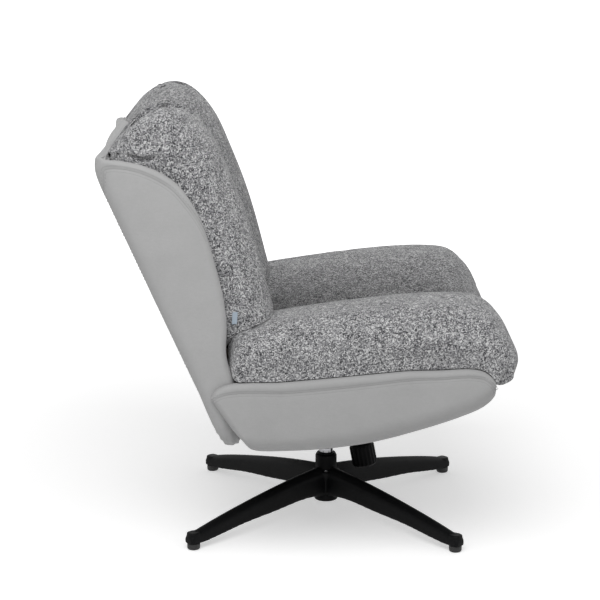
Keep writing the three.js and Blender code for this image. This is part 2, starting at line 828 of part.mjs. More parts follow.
// Underside and rear edge, from the nose back and up to the rear corner.
const seatUnderShares = [
  [1, 0.66], [0.98, 0.58], [0.91, 0.46], [0.825, 0.355], [0.68, 0.21], [0.54, 0.1],
  [0.39, 0.03], [0.25, 0], [0.15, 0.015], [0.112, 0.1], [0.096, 0.22], [0.056, 0.48], [0.022, 0.63],
];
const seatShellLength = seatShellFront - seatShellRear;
const seatShellHeight = seatShellTop - seatShellBottom;
const seatPlace = ([x, z]) => [seatShellRear + x * seatShellLength, seatShellBottom + z * seatShellHeight];
const seatTopLine = seatTopShares.map(seatPlace);
const seatUnderLine = seatUnderShares.map(seatPlace);

// Side outline swept across the width. The depth below the top edge fades towards the sides,
// and the nose bows back towards the corners.
function seatBody(outline, halfWidth, squareness, topAt) {
  return loft(stationsAcross(squareness).map(([place, full]) => outline.map(([x, z]) => {
    const top = topAt(x);
    const drawn = seatFrontBow * place * place + seatCornerRound * (1 - full);
    const bow = drawn * smooth(x, 0, seatShellFront);
    return new THREE.Vector3(x - bow, place * halfWidth, top - (top - z) * full);
  })));
}

function seatOuter(grow) {
  const under = seatUnderLine.map(([x, z]) => [x, z - grow]);
  const outline = [...seatTopLine.map(([x, z]) => [x, z + grow]), ...under];
  return solid(seatBody(outline, seatHalfWidth + grow, seatSquareness, (x) => heightOn(seatTopLine, x) + grow));
}

// Hollow of the shell: the same sweep drawn in by the wall, open above and behind.
function seatHollow(wall) {
  const lid = seatShellTop + seatShellHeight;
  const rear = seatShellRear - seatShellWall;
  const front = seatShellFront - wall;
  const under = seatUnderLine.filter(([x]) => x > floorSlotRear);
  const floor = under.map(([x, z]) => [Math.min(x, front), z + wall]);
  const outline = [[rear, lid], [front, lid], ...floor, [rear, floor[floor.length - 1][1]]];
  return solid(seatBody(outline, seatHalfWidth - wall, hollowSquareness, (x) => heightOn(seatTopLine, x)));
}

function seatPan(grow) {
  const slot = solid(block(
    [floorSlotRear, floorSlotFront], [-floorSlotHalfWidth, floorSlotHalfWidth],
    [bracketFloor, plateTop],
  ));
  return cut(seatOuter(grow), seatHollow(seatShellWall + grow), slot);
}

part("seat_shell", seatPan(0), greyLeather, tilting);

// Back shell

// Side view of the shell: the rim from the ear down, the lower lump, the straight rear line
// and the rounded ear, as shares of its depth and height.
const rimShares = [
  [0.06, 1], [0.196, 0.98], [0.344, 0.972], [0.467, 0.945], [0.585, 0.904], [0.681, 0.837],
  [0.752, 0.769], [0.8, 0.688], [0.841, 0.621], [0.874, 0.543], [0.9, 0.442],
  [0.896, 0.323], [0.941, 0.24], [1, 0.146], [0.985, 0.054],
];
const lumpShares = [[0.96, 0.012], [0.915, 0], [0.86, 0.012]];
const rearLineShares = [0.04, 0.21, 0.38, 0.55, 0.72, 0.885];
const earShares = [[0.004, 0.932], [0, 0.961], [0.01, 0.985]];
const backDepth = backRimBottomX - backEarX;
const backHeight = backEarZ - backLumpZ;
const backPlace = ([x, z]) => [backEarX + x * backDepth, backLumpZ + z * backHeight];
const rimLine = rimShares.map(backPlace);
const rimByHeight = rimLine.map(([x, z]) => [z, x]).reverse();
const rearSlope = (backEarX + earRound - backFootX) / (backLumpZ + backHeight * rearLineShares[5] - backFootZ);

function rearLineX(z) {
  return backFootX + (z - backFootZ) * rearSlope;
}

const rearLine = rearLineShares.map((share) => {
  const z = backLumpZ + share * backHeight;
  return [rearLineX(z), z];
});

// Side outline swept across the width: everything behind the rim fades towards it at the
// sides, which makes the two wings, and the shell is a little wider half way up.
function backBody(outline, inset, squareness) {
  return loft(stationsAcross(squareness).map(([place, full]) => outline.map(([x, z]) => {
    const share = THREE.MathUtils.clamp((z - backLumpZ) / backHeight, 0, 1);
    const narrowing = backFootNarrowing * (1 - smooth(share, 0, backFootShare));
    const half = backHalfWidth - inset + backBarrel * Math.sin(share * Math.PI) - narrowing;
    const rim = heightOn(rimByHeight, z);
    const crown = backTopCrown * (1 - place * place) * smooth(share, rearLineShares[4], 1);
    return new THREE.Vector3(Math.max(rim, x) - Math.max(rim - x, 0) * full, place * half, z + crown);
  })));
}

function backOuter(grow) {
  const outline = [...rimLine, ...lumpShares.map(backPlace), ...rearLine, ...earShares.map(backPlace)];
  if (grow === 0) return solid(backBody(outline, 0, backSquareness));
  return solid(backBody(grownOutline(outline, grow), -grow, backSquareness));
}

function backHollow(wall) {
  const shift = wall / Math.cos(Math.atan(rearSlope));
  const lid = backEarZ + backDepth;
  const floor = backInnerFloor + wall - backShellWall;
  const heights = rearLineShares.slice(1).map((share) => backLumpZ + share * backHeight);
  const rear = [floor, ...heights].map((z) => [rearLineX(z) + shift, z]);
  earShares.map(backPlace).forEach(([, z]) => rear.push([backEarX + shift, z]));
  rear.push([backEarX + shift, backEarZ], [backEarX + shift, lid]);
  const front = backRimBottomX + backDepth;
  return solid(backBody([...rear, [front, lid], [front, floor]], wall, hollowSquareness));
}

function backShell(grow) {
  return cut(backOuter(grow), backHollow(backShellWall + grow));
}

part("back_shell", backShell(0), greyLeather, tilting);

// Cushions

// Each point of an outline moved outwards along its own normal.
function grownOutline(outline, grow) {
  const flat = outline.map(([x, z]) => new THREE.Vector2(x, z));
  const way = Math.sign(THREE.ShapeUtils.area(flat));
  return flat.map((point, index) => {
    const before = flat[(index + flat.length - 1) % flat.length];
    const after = flat[(index + 1) % flat.length];
    const along = after.clone().sub(before).normalize();
    return [point.x + along.y * way * grow, point.y - along.x * way * grow];
  });
}

// Outline points for a cushion. Each has the nearest point of the cushion's middle line, its own
// outward normal, and how much of the face it is, from 0 underneath and behind to 1 on top.
function cushionOutline(pairs, count, middle, faceWay) {
  const points = curvePoints(pairs, count, true);
  const [start, end] = middle.map(([x, z]) => new THREE.Vector3(x, 0, z));
  const line = new THREE.Line3(start, end);
  return points.map((point, index) => {
    const before = points[(index + count - 1) % count];
    const after = points[(index + 1) % count];
    const heart = line.closestPointToPoint(point, true, new THREE.Vector3());
    const normal = new THREE.Vector3(before.z - after.z, 0, after.x - before.x).normalize();
    if (normal.dot(point.clone().sub(heart)) < 0) normal.negate();
    return { point, heart, face: smooth(normal.dot(faceWay), -0.1, 0.6), normal };
  });
}

// Two lobes side by side. From each crest the skin arches down to the sewn channel in the
// middle, where a narrow groove is pulled in, and it crowns and rounds in to the side.
function lobes(outline, form, grow) {
  const half = form.halfWidth + grow;
  const sideShares = [0, 0.35, 0.62, 0.83, 0.95, 1];
  const side = sideShares.map((share) => half - form.sideRound * (1 - share));
  const inner = [0, channelReach / 3, channelReach, (channelReach + form.crest) / 2];
  const right = [...inner, form.crest, ...side.filter((place) => place > form.crest + channelReach)];
  const stations = [...right.slice(1).reverse().map((place) => -place), ...right];
  return solid(loft(stations.map((place) => outline.map(({ point, heart, face, normal }) => {
    const across = Math.abs(place);
    const edge = Math.max(0, across - half + form.sideRound) / form.sideRound;
    const keep = form.endShare + (1 - form.endShare) * Math.sqrt(1 - edge * edge);
    const into = Math.max(0, 1 - across / form.crest);
    const arch = form.valleyDepth * (1 - Math.cos(into * Math.PI / 2));
    const groove = channelDepth * Math.max(0, 1 - across / channelReach) ** 2;
    const crown = form.crown * Math.max(0, across / form.crest - 1) ** 2;
    const reach = point.distanceTo(heart);
    const share = keep * (reach - (arch + groove + crown) * face) / reach;
    const skin = heart.clone().lerp(point, share).addScaledVector(normal, grow);
    return skin.setY(place * form.widthAt(skin, half) / half);
  }))));
}

const cushionRingCount = 36;
const cushionLength = cushionFront - cushionRear;
const cushionHeight = cushionTop - cushionBottom;
const seatProfileShares = [
  [0.01, 0.08], [0, 0.35], [0.02, 0.56], [0.09, 0.68], [0.2, 0.765], [0.38, 0.87], [0.57, 0.955],
  [0.72, 0.995], [0.8, 1], [0.86, 0.97], [0.91, 0.89], [0.95, 0.72], [0.98, 0.53], [1, 0.3],
  [0.99, 0.12], [0.95, 0.01], [0.85, 0], [0.6, 0], [0.35, 0], [0.12, 0],
];
const seatMiddleShares = [[0.13, 0.42], [0.87, 0.48]];
const seatCushionPlace = ([x, z]) => [cushionRear + x * cushionLength, cushionBottom + z * cushionHeight];
const seatFaceWay = new THREE.Vector3(0.35, 0, 1).normalize();
const seatOutline = cushionOutline(
  seatProfileShares.map(seatCushionPlace), cushionRingCount, seatMiddleShares.map(seatCushionPlace), seatFaceWay,
);
const seatForm = {
  halfWidth: cushionHalfWidth, sideRound: cushionSideRound, valleyDepth: seatValleyDepth,
  crest: seatCrestOffset, crown: seatCrown, endShare: 0.32,
  widthAt: (skin, half) => {
    const open = smooth(skin.x, cushionWidenStart, cushionWidenEnd);
    const middle = (skin.x - cushionRear) / cushionLength * 2 - 1;
    const pulled = half - seatDrawIn * (1 - middle * middle);
    return THREE.MathUtils.lerp(cushionRearHalfWidth, pulled, open);
  },
};

const cushionDepth = backCushionFront - backCushionRear;
const cushionRise = backCushionTop - backCushionBottom;
const backProfileShares = [
  [1, 0.038], [0.951, 0.176], [0.875, 0.372], [0.823, 0.511], [0.731, 0.678], [0.659, 0.806],
  [0.57, 0.925], [0.488, 0.973], [0.375, 1], [0.3, 0.988], [0.215, 0.945], [0.14, 0.885],
  [0.055, 0.8], [0.085, 0.75], [0.165, 0.69], [0.275, 0.52], [0.388, 0.35], [0.5, 0.18], [0.592, 0.04],
  [0.65, 0.005], [0.938, 0],
];
const backMiddleShares = [[0.716, 0.162], [0.339, 0.827]];
const backCushionPlace = ([x, z]) => [backCushionRear + x * cushionDepth, backCushionBottom + z * cushionRise];
const backFaceWay = new THREE.Vector3(0.8, 0, 0.55).normalize();
const backOutline = cushionOutline(
  backProfileShares.map(backCushionPlace), cushionRingCount, backMiddleShares.map(backCushionPlace), backFaceWay,
);
const backForm = {
  halfWidth: backCushionHalfWidth, sideRound: backSideRound, valleyDepth: backValleyDepth,
  crest: backCrestOffset, crown: 0, endShare: 0.2,
  widthAt: (skin, half) => {
    const middle = (skin.z - backCushionBottom) / cushionRise * 2 - 1;
    return half - backDrawIn * (1 - middle * middle);
  },
};

const seatCushion = cut(lobes(seatOutline, seatForm, 0), seatPan(clothGap), backShell(clothGap));
part("seat_cushion", seatCushion, greyTweed, tilting);
const backCushion = cut(
  lobes(backOutline, backForm, 0), backShell(clothGap), lobes(seatOutline, seatForm, padGap),
);
part("back_cushion", backCushion, greyTweed, tilting);

// Wooden seat frame, cut to the inside of the shell

const railOuter = seatHalfWidth - seatShellWall;
const railInner = railOuter - railThickness;
const frameRoom = seatHollow(seatShellWall + fitGap);

for (const [side, label] of sides) {
  const across = acrossOn(side, railInner, railOuter);
  const rail = solid(block([railRear, railFront], across, [railBottom, railTop]));
  part(`seat_rail_${label}`, rail.intersect(frameRoom), beech, tilting);
}

function crossPiece(x0, x1, bottom, top) {
  const half = railInner - fitGap;
  return solid(block([x0, x1], [-half, half], [bottom, top])).intersect(frameRoom);
}

part("seat_rail_front", crossPiece(railFront - railThickness, railFront, railBottom, railTop), beech, tilting);
const crossBottom = plateTop + fitGap;
const crossFront = crossPiece(plateFront - crossDepth, plateFront, crossBottom, crossTop);
const crossRear = crossPiece(plateRear, plateRear + crossDepth, crossBottom, crossTop);
part("cross_member_front", cut(crossFront, ...boltHoles()), beech, tilting);
part("cross_member_rear", cut(crossRear, ...boltHoles()), beech, tilting);

// Sinuous seat springs, whose ends lie on the front and rear rails
const springFront = railFront - railThickness / 2;
const springRear = railRear + railThickness / 2;
const springHeight = railTop + fitGap + springWire;
const wavePoints = 4;

function seatSpring(index) {
  const y = seatSpringSpread * (index / (seatSpringCount - 1) - 0.5);
  const steps = seatSpringWaves * wavePoints;
  const points = Array.from({ length: steps + 1 }, (_, step) => {
    const share = step / steps;
    const swing = seatSpringHalfWidth * Math.sin(share * seatSpringWaves * 2 * Math.PI);
    return new THREE.Vector3(THREE.MathUtils.lerp(springRear, springFront, share), y + swing, springHeight);
  });
  return tube(new THREE.CatmullRomCurve3(points), springWire, springSides, 1.5 * steps);
}

for (let index = 0; index < seatSpringCount; index += 1) {
  part(`seat_spring_${index + 1}`, seatSpring(index), springSteel, tilting);
}

// Back frame: two posts and two rails, with webbing stretched across their front

const postLow = new THREE.Vector3(postLowX, 0, postLowZ);
const postHigh = new THREE.Vector3(postHighX, 0, postHighZ);
const postWay = postHigh.clone().sub(postLow).normalize();
const postLean = Math.atan2(-postWay.x, postWay.z);
const postLength = postHigh.distanceTo(postLow);

// Moves a shape made along +Z onto the line of the posts.
function alongPost(geometry) {
  return geometry.rotateY(-postLean).translate(postLowX, 0, postLowZ);
}

function post(side, radius, overrun) {
  const bar = pin(radius, -overrun, postLength + overrun, roundSides / 2);
  return alongPost(bar.translate(0, postOffset * side, 0));
}

// Bar between the posts, whose rear face lies against the inside of the back shell.
function postRail(reach) {
  const half = postOffset - postRadius - fitGap;
  const height = [reach - postRadius, reach + postRadius];
  const bar = block([-postRadius - backShellWall, postRadius], [-half, half], height);
  return solid(alongPost(bar)).intersect(backHollow(backShellWall + fitGap));
}

function backBracket(side) {
  const face = railRear - fitGap;
  const centre = postOffset * side;
  const across = (width) => [centre - width / 2, centre + width / 2];
  const flange = solid(block([face - sheet, face], across(backBracketFlange), [railBottom, railTop]));
  const arm = solid(block([postLowX, face - padGap], across(backBracketWidth), [railBottom, railTop]));
  const hole = railBolt(side, plateBoltRadius + fitGap, cutOverrun, sheet + fitGap + cutOverrun);
  return cut(joined(flange, arm), solid(post(side, postRadius + fitGap, postRadius)), solid(hole));
}

// A round bar through the inner end of a bracket's flange, from behind it into the rear rail.
function railBolt(side, radius, into, behind) {
  const rod = new THREE.CylinderGeometry(radius, radius, into + behind, smallSides).rotateZ(Math.PI / 2);
  const reach = postOffset - (backBracketFlange + backBracketWidth) / 4;
  return rod.translate(railRear + (into - behind) / 2, reach * side, (railBottom + railTop) / 2);
}

function bracketBolt(side) {
  const seat = sheet + 2 * fitGap;
  const head = railBolt(side, boltHeadRadius, -seat, seat + boltHeadHeight);
  const shank = railBolt(side, plateBoltRadius, bracketBoltSpan, seat + padGap);
  return joined(solid(head), solid(shank));
}

const railBoltHoles = sides.map(([side]) => {
  return solid(railBolt(side, plateBoltRadius + fitGap, bracketBoltSpan + fitGap, cutOverrun));
});
const railRearWood = crossPiece(railRear, railRear + railThickness, railBottom, railTop);
part("seat_rail_rear", cut(railRearWood, ...railBoltHoles), beech, tilting);
for (const [side, label] of sides) {
  part(`back_post_${label}`, post(side, postRadius, 0), blackMetal, tilting);
  part(`back_bracket_${label}`, backBracket(side), blackMetal, tilting);
  part(`bracket_bolt_${label}`, bracketBolt(side), zincSteel, tilting);
}
part("back_rail_top", postRail(postLength - postRadius), blackMetal, tilting);
part("back_rail_low", postRail(lowRailRise), blackMetal, tilting);

function backStrap(index) {
  const near = postRadius + fitGap;
  const half = postOffset + webbingOverlap;
  const low = webbingStart + index * webbingPitch;
  return alongPost(block([near, near + webbingThickness], [-half, half], [low, low + webbingWidth]));
}

for (let index = 0; index < webbingCount; index += 1) {
  part(`back_strap_${index + 1}`, backStrap(index), elastic, tilting);
}

// The chair, centred over the middle of its length
const chair = new THREE.Group();
chair.add(chairBase, mechanism, tension, tilting);
chair.updateMatrixWorld(true);
const middle = new THREE.Box3().setFromObject(chair, true).getCenter(new THREE.Vector3());
chair.position.x = -middle.x;
console.log(`column axis lies at x = ${chair.position.x.toFixed(3)} mm`);

export default chair;
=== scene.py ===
"""Looks of a star base swivel recliner, laid out as an add-on and run as a script.

Lengths are metres. Side views are drawn in millimetres from the column's axis and above the
floor, with the sitter's front at +X, and side_view() puts them in the frame.
"""
import json
import math

import bmesh
import bpy
import numpy as np
from bpy.props import FloatProperty, FloatVectorProperty, IntProperty, PointerProperty
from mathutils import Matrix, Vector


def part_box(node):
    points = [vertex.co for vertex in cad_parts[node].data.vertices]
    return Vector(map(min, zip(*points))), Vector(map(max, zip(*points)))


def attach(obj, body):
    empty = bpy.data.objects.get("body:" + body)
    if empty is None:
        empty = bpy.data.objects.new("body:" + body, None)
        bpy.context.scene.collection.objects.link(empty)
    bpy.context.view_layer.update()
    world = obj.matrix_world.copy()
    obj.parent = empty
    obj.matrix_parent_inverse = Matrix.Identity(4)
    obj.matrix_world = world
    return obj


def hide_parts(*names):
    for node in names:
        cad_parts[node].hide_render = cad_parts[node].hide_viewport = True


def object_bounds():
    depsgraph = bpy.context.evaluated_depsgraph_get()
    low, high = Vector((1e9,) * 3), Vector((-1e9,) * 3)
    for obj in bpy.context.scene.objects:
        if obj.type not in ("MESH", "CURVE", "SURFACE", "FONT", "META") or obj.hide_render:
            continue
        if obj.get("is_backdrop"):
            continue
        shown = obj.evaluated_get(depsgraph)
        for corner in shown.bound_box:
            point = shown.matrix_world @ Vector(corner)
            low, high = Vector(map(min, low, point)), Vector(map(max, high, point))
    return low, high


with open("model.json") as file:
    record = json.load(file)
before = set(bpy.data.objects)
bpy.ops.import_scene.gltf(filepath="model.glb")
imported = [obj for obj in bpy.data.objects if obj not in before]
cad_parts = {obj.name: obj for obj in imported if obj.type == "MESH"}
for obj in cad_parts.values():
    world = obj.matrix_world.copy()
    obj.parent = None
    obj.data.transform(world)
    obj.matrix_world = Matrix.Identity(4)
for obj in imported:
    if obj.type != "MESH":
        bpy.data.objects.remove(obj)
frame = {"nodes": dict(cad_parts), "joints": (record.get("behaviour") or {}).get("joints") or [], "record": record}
cad_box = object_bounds()

bl_info = {
    "name": "Star Base Swivel Recliner",
    "version": (1, 0, 0),
    "blender": (4, 5, 0),
    "location": "3D View > Sidebar > Recliner",
    "description": "Dresses the CAD frame of a swivel recliner: shells, cushions, base and stage",
    "category": "Add Mesh",
}

MM = 0.001
MIRROR = np.array([1, -1, 1])
# Further than this from a seam, only the distance to it counts, and not the way across it.
SEAM_BAND = 0.005
# Distance between the two stitch rows of a seam
STITCH_SPREAD = 0.0084
# Depth of the valley at a seam, and how far from it the leather begins to puff up
SEAM_DEPTH, PUFF_REACH = 0.0016, 0.03
# Points to each rounded corner of a turned piece
ROUNDING_STEPS = 3
joints = {joint["name"]: joint for joint in frame["joints"]}
axis_x = joints["swivel"]["pos_m"][0]

# Side views, millimetres from the column's axis and above the floor

BACK_RIM = [
    (-171, 250), (-169, 276), (-169, 302), (-182, 351), (-196, 396), (-196, 460), (-203, 515),
    (-213, 557), (-236, 637), (-255, 676), (-281, 711), (-313, 733), (-346, 746), (-384, 754),
    (-404, 759), (-418, 763),
]
BACK_HEEL = [
    (-170, 247), (-175, 232), (-186, 225), (-198, 228), (-209, 243), (-231, 290), (-298, 439),
    (-365, 588), (-402, 670), (-418, 708), (-425, 731), (-426, 746), (-424, 757), (-418, 763),
]
BACK_KEEL = [
    (-169, 247), (-176, 230), (-190, 222), (-205, 226), (-217, 242), (-240, 290), (-310, 439),
    (-377, 588), (-408, 666), (-420, 704), (-425, 730), (-423, 748), (-414, 764), (-400, 776),
    (-382, 782),
]
SEAT_RIM = [
    (-226, 325), (-216, 341), (-190, 352), (-155, 355), (-112, 354), (-49, 358), (69, 368),
    (128, 373), (187, 374), (240, 376), (266, 372), (284, 358), (294, 339),
]
SEAT_HEEL = [
    (-160, 226), (-141, 220), (-88, 219), (-9, 223), (70, 234), (149, 254), (227, 279),
    (272, 299), (290, 316), (294, 339),
]
SEAT_KEEL = [
    (-150, 213), (-120, 209), (-60, 207), (9, 213), (80, 226), (149, 245), (229, 272), (276, 292),
    (306, 308), (326, 328),
]


def side_view(points):
    """Side-view points in millimetres as (x, z) pairs in the frame's metres."""
    table = np.array(points, float) * MM
    table[:, 0] += axis_x
    return table


# Curves and grids

def smooth_step(value, start, end):
    """0 before start, 1 after end, and 3s^2 - 2s^3 of the share s of the way between them."""
    share = np.clip((value - start) / (end - start), 0, 1)
    return share * share * (3 - 2 * share)


def bell(value, width):
    """A bump of height 1: e to the power of minus the square of value over width."""
    return np.exp(-(value / width) ** 2)


def smooth_path(points, closed=False, fine=32):
    """A curve through the points, with fine steps to each span.

    Each span is a cubic between two points. Its end slopes weigh the steps to both neighbours
    by the square roots of their lengths, so that uneven steps make no loops.
    """
    points = np.asarray(points, float)
    if closed:
        padded = np.concatenate([points[-1:], points, points[:2]])
    else:
        first = 2 * points[:1] - points[1:2]
        last = 2 * points[-1:] - points[-2:-1]
        padded = np.concatenate([first, points, last])
    steps = np.sqrt(np.linalg.norm(np.diff(padded, axis=0), axis=1))[:, None]
    a, b, c, d = padded[:-3], padded[1:-2], padded[2:-1], padded[3:]
    ab, bc, cd = steps[:-2], steps[1:-1], steps[2:]
    leave = bc * ((b - a) / ab - (c - a) / (ab + bc) + (c - b) / bc)
    reach = bc * ((c - b) / bc - (d - b) / (bc + cd) + (d - c) / cd)
    t = np.linspace(0, 1, fine, endpoint=False)[None, :, None]
    b, c, leave, reach = (part[:, None, :] for part in (b, c, leave, reach))
    curve = (
        (2 * t**3 - 3 * t**2 + 1) * b + (t**3 - 2 * t**2 + t) * leave
        + (3 * t**2 - 2 * t**3) * c + (t**3 - t**2) * reach
    )
    return np.concatenate([curve.reshape(-1, points.shape[1]), points[:1] if closed else points[-1:]])


def lengths_of(path):
    """Distance run along a path at each of its points."""
    steps = np.linalg.norm(np.diff(path, axis=0), axis=1)
    return np.concatenate([[0], np.cumsum(steps)])


def between(values, run, places):
    """Rows of values that stand at the distances of run, read at other distances."""
    return np.stack([np.interp(places, run, column) for column in values.T], axis=-1)


def at_lengths(path, places):
    """Points of a path at the given distances along it."""
    return between(path, lengths_of(path), places)


def even_path(path, count):
    """The path again as count points at even steps of its length."""
    return at_lengths(path, np.linspace(0, lengths_of(path)[-1], count))


def along_rows(grid, run, places):
    """Each row of a grid resampled at the distances in the same row of places.

    All rows are read in one interpolation: row after row is laid on one long line, each
    starting a fixed stride after the one before.
    """
    stride = (run[:, -1].max() + 1) * np.arange(len(grid))[:, None]
    line = (run + stride).ravel()
    want = (places + stride).ravel()
    return np.stack(
        [np.interp(want, line, grid[..., axis].ravel()).reshape(places.shape) for axis in range(3)], axis=-1
    )


def unit(vectors):
    """The vectors made one long."""
    return vectors / np.maximum(np.linalg.norm(vectors, axis=-1, keepdims=True), 1e-18)


def facing(normals, face_way):
    """How far side-view normals point the way that a face looks: from -1 to 1."""
    return normals @ (np.array(face_way) / np.linalg.norm(face_way))


def normals_of(grid, rounds=3):
    """Unit normals of a grid of points: the cross product of its two directions, which has the
    size of the faces beside it, averaged some rounds with the four neighbours'."""
    normal = np.cross(np.gradient(grid, axis=0), np.gradient(grid, axis=1))
    for _ in range(rounds):
        near = np.pad(normal, ((1, 1), (1, 1), (0, 0)), mode="edge")
        normal = 2 * normal + near[:-2, 1:-1] + near[2:, 1:-1] + near[1:-1, :-2] + near[1:-1, 2:]
    return unit(normal)


def distance_to(points, path):
    """Distance of every point to the nearest place on a path of straight steps, and where on it."""
    start, step = path[:-1], np.diff(path, axis=0)
    square = np.maximum((step**2).sum(1), 1e-18)
    run = lengths_of(path)
    near, place = [], []
    for some in np.array_split(points, max(1, len(points) * len(path) // 2_000_000)):
        away = some[:, None, :] - start[None]
        share = np.clip((away * step[None]).sum(-1) / square, 0, 1)
        gap = np.linalg.norm(away - share[..., None] * step[None], axis=-1)
        best = gap.argmin(1)
        row = np.arange(len(some))
        near.append(gap[row, best])
        place.append(run[best] + share[row, best] * np.sqrt(square[best]))
    return np.concatenate(near), np.concatenate(place)


def grid_faces(rows, columns, around=False, first=0):
    """Four-sided faces between neighbouring rows of a grid, closed round when around is set."""
    across = columns if around else columns - 1
    row, column = np.meshgrid(np.arange(rows - 1), np.arange(across), indexing="ij")
    here = row * columns + column
    beside = row * columns + (column + 1) % columns
    return first + np.stack([here, beside, beside + columns, here + columns], axis=-1).reshape(-1, 4)


# Mesh objects

def mesh_object(name, points, faces, smooth=True):
    """A mesh object at the origin, with doubles merged and its faces turned outwards."""
    mesh = bpy.data.meshes.new(name)
    mesh.from_pydata(np.asarray(points).reshape(-1, 3).tolist(), [], [list(face) for face in faces])
    work = bmesh.new()
    work.from_mesh(mesh)
    bmesh.ops.remove_doubles(work, verts=work.verts, dist=0.00002)
    bmesh.ops.dissolve_degenerate(work, edges=work.edges, dist=0.00001)
    bmesh.ops.recalc_face_normals(work, faces=work.faces)
    if work.calc_volume(signed=True) < 0:
        bmesh.ops.reverse_faces(work, faces=work.faces)
    work.to_mesh(mesh)
    work.free()
    mesh.shade_smooth() if smooth else mesh.shade_flat()
    piece = bpy.data.objects.new(name, mesh)
    bpy.context.scene.collection.objects.link(piece)
    return piece


def coordinates(mesh):
    """All vertex places of a mesh as an array."""
    flat = np.empty(len(mesh.vertices) * 3)
    mesh.vertices.foreach_get("co", flat)
    return flat.reshape(-1, 3)


def vertex_normals(mesh):
    """All vertex normals of a mesh as an array."""
    flat = np.empty(len(mesh.vertices) * 3)
    mesh.vertex_normals.foreach_get("vector", flat)
    return flat.reshape(-1, 3)


def place_vertices(mesh, points):
    """Moves all vertices of a mesh to the places in an array."""
    mesh.vertices.foreach_set("co", np.ascontiguousarray(points, float).ravel())
    mesh.update()


def store(mesh, name, values):
    """Keeps one number for each vertex, which a material can read."""
    mesh.attributes.new(name, "FLOAT", "POINT").data.foreach_set("value", np.asarray(values, float))


def apply_modifiers(piece):
    """Replaces the mesh by what its modifiers make of it, and clears them."""
    shape = piece.evaluated_get(bpy.context.evaluated_depsgraph_get())
    mesh = bpy.data.meshes.new_from_object(shape)
    piece.modifiers.clear()
    piece.data = mesh
    mesh.name = piece.name
    return piece


def finish_piece(piece, body, material, slot, *nodes):
    """Gives a piece its material, sets it on its body and lets it stand for its nodes. The slot is not used."""
    piece.data.materials.clear()
    piece.data.materials.append(material)
    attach(piece, body)
    if nodes:
        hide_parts(*nodes)
    return piece


# Shells

EDGE_STEPS = np.array([0, 0.5, 1.8, 3.8, 6.4, 9.5, 12, 14, 15.5, 17, 19, 22, 26, 31]) * MM


def edged(length, count, both=False):
    """Distances from 0 to length: close together near the edge, then even steps.

    With both set they are close together at the far end too.
    """
    if both:
        middle = np.linspace(EDGE_STEPS[-1], length - EDGE_STEPS[-1], count)[1:-1]
        return np.concatenate([EDGE_STEPS, middle, length - EDGE_STEPS[::-1]])
    return np.concatenate([EDGE_STEPS, np.linspace(EDGE_STEPS[-1], length, count)[1:]])


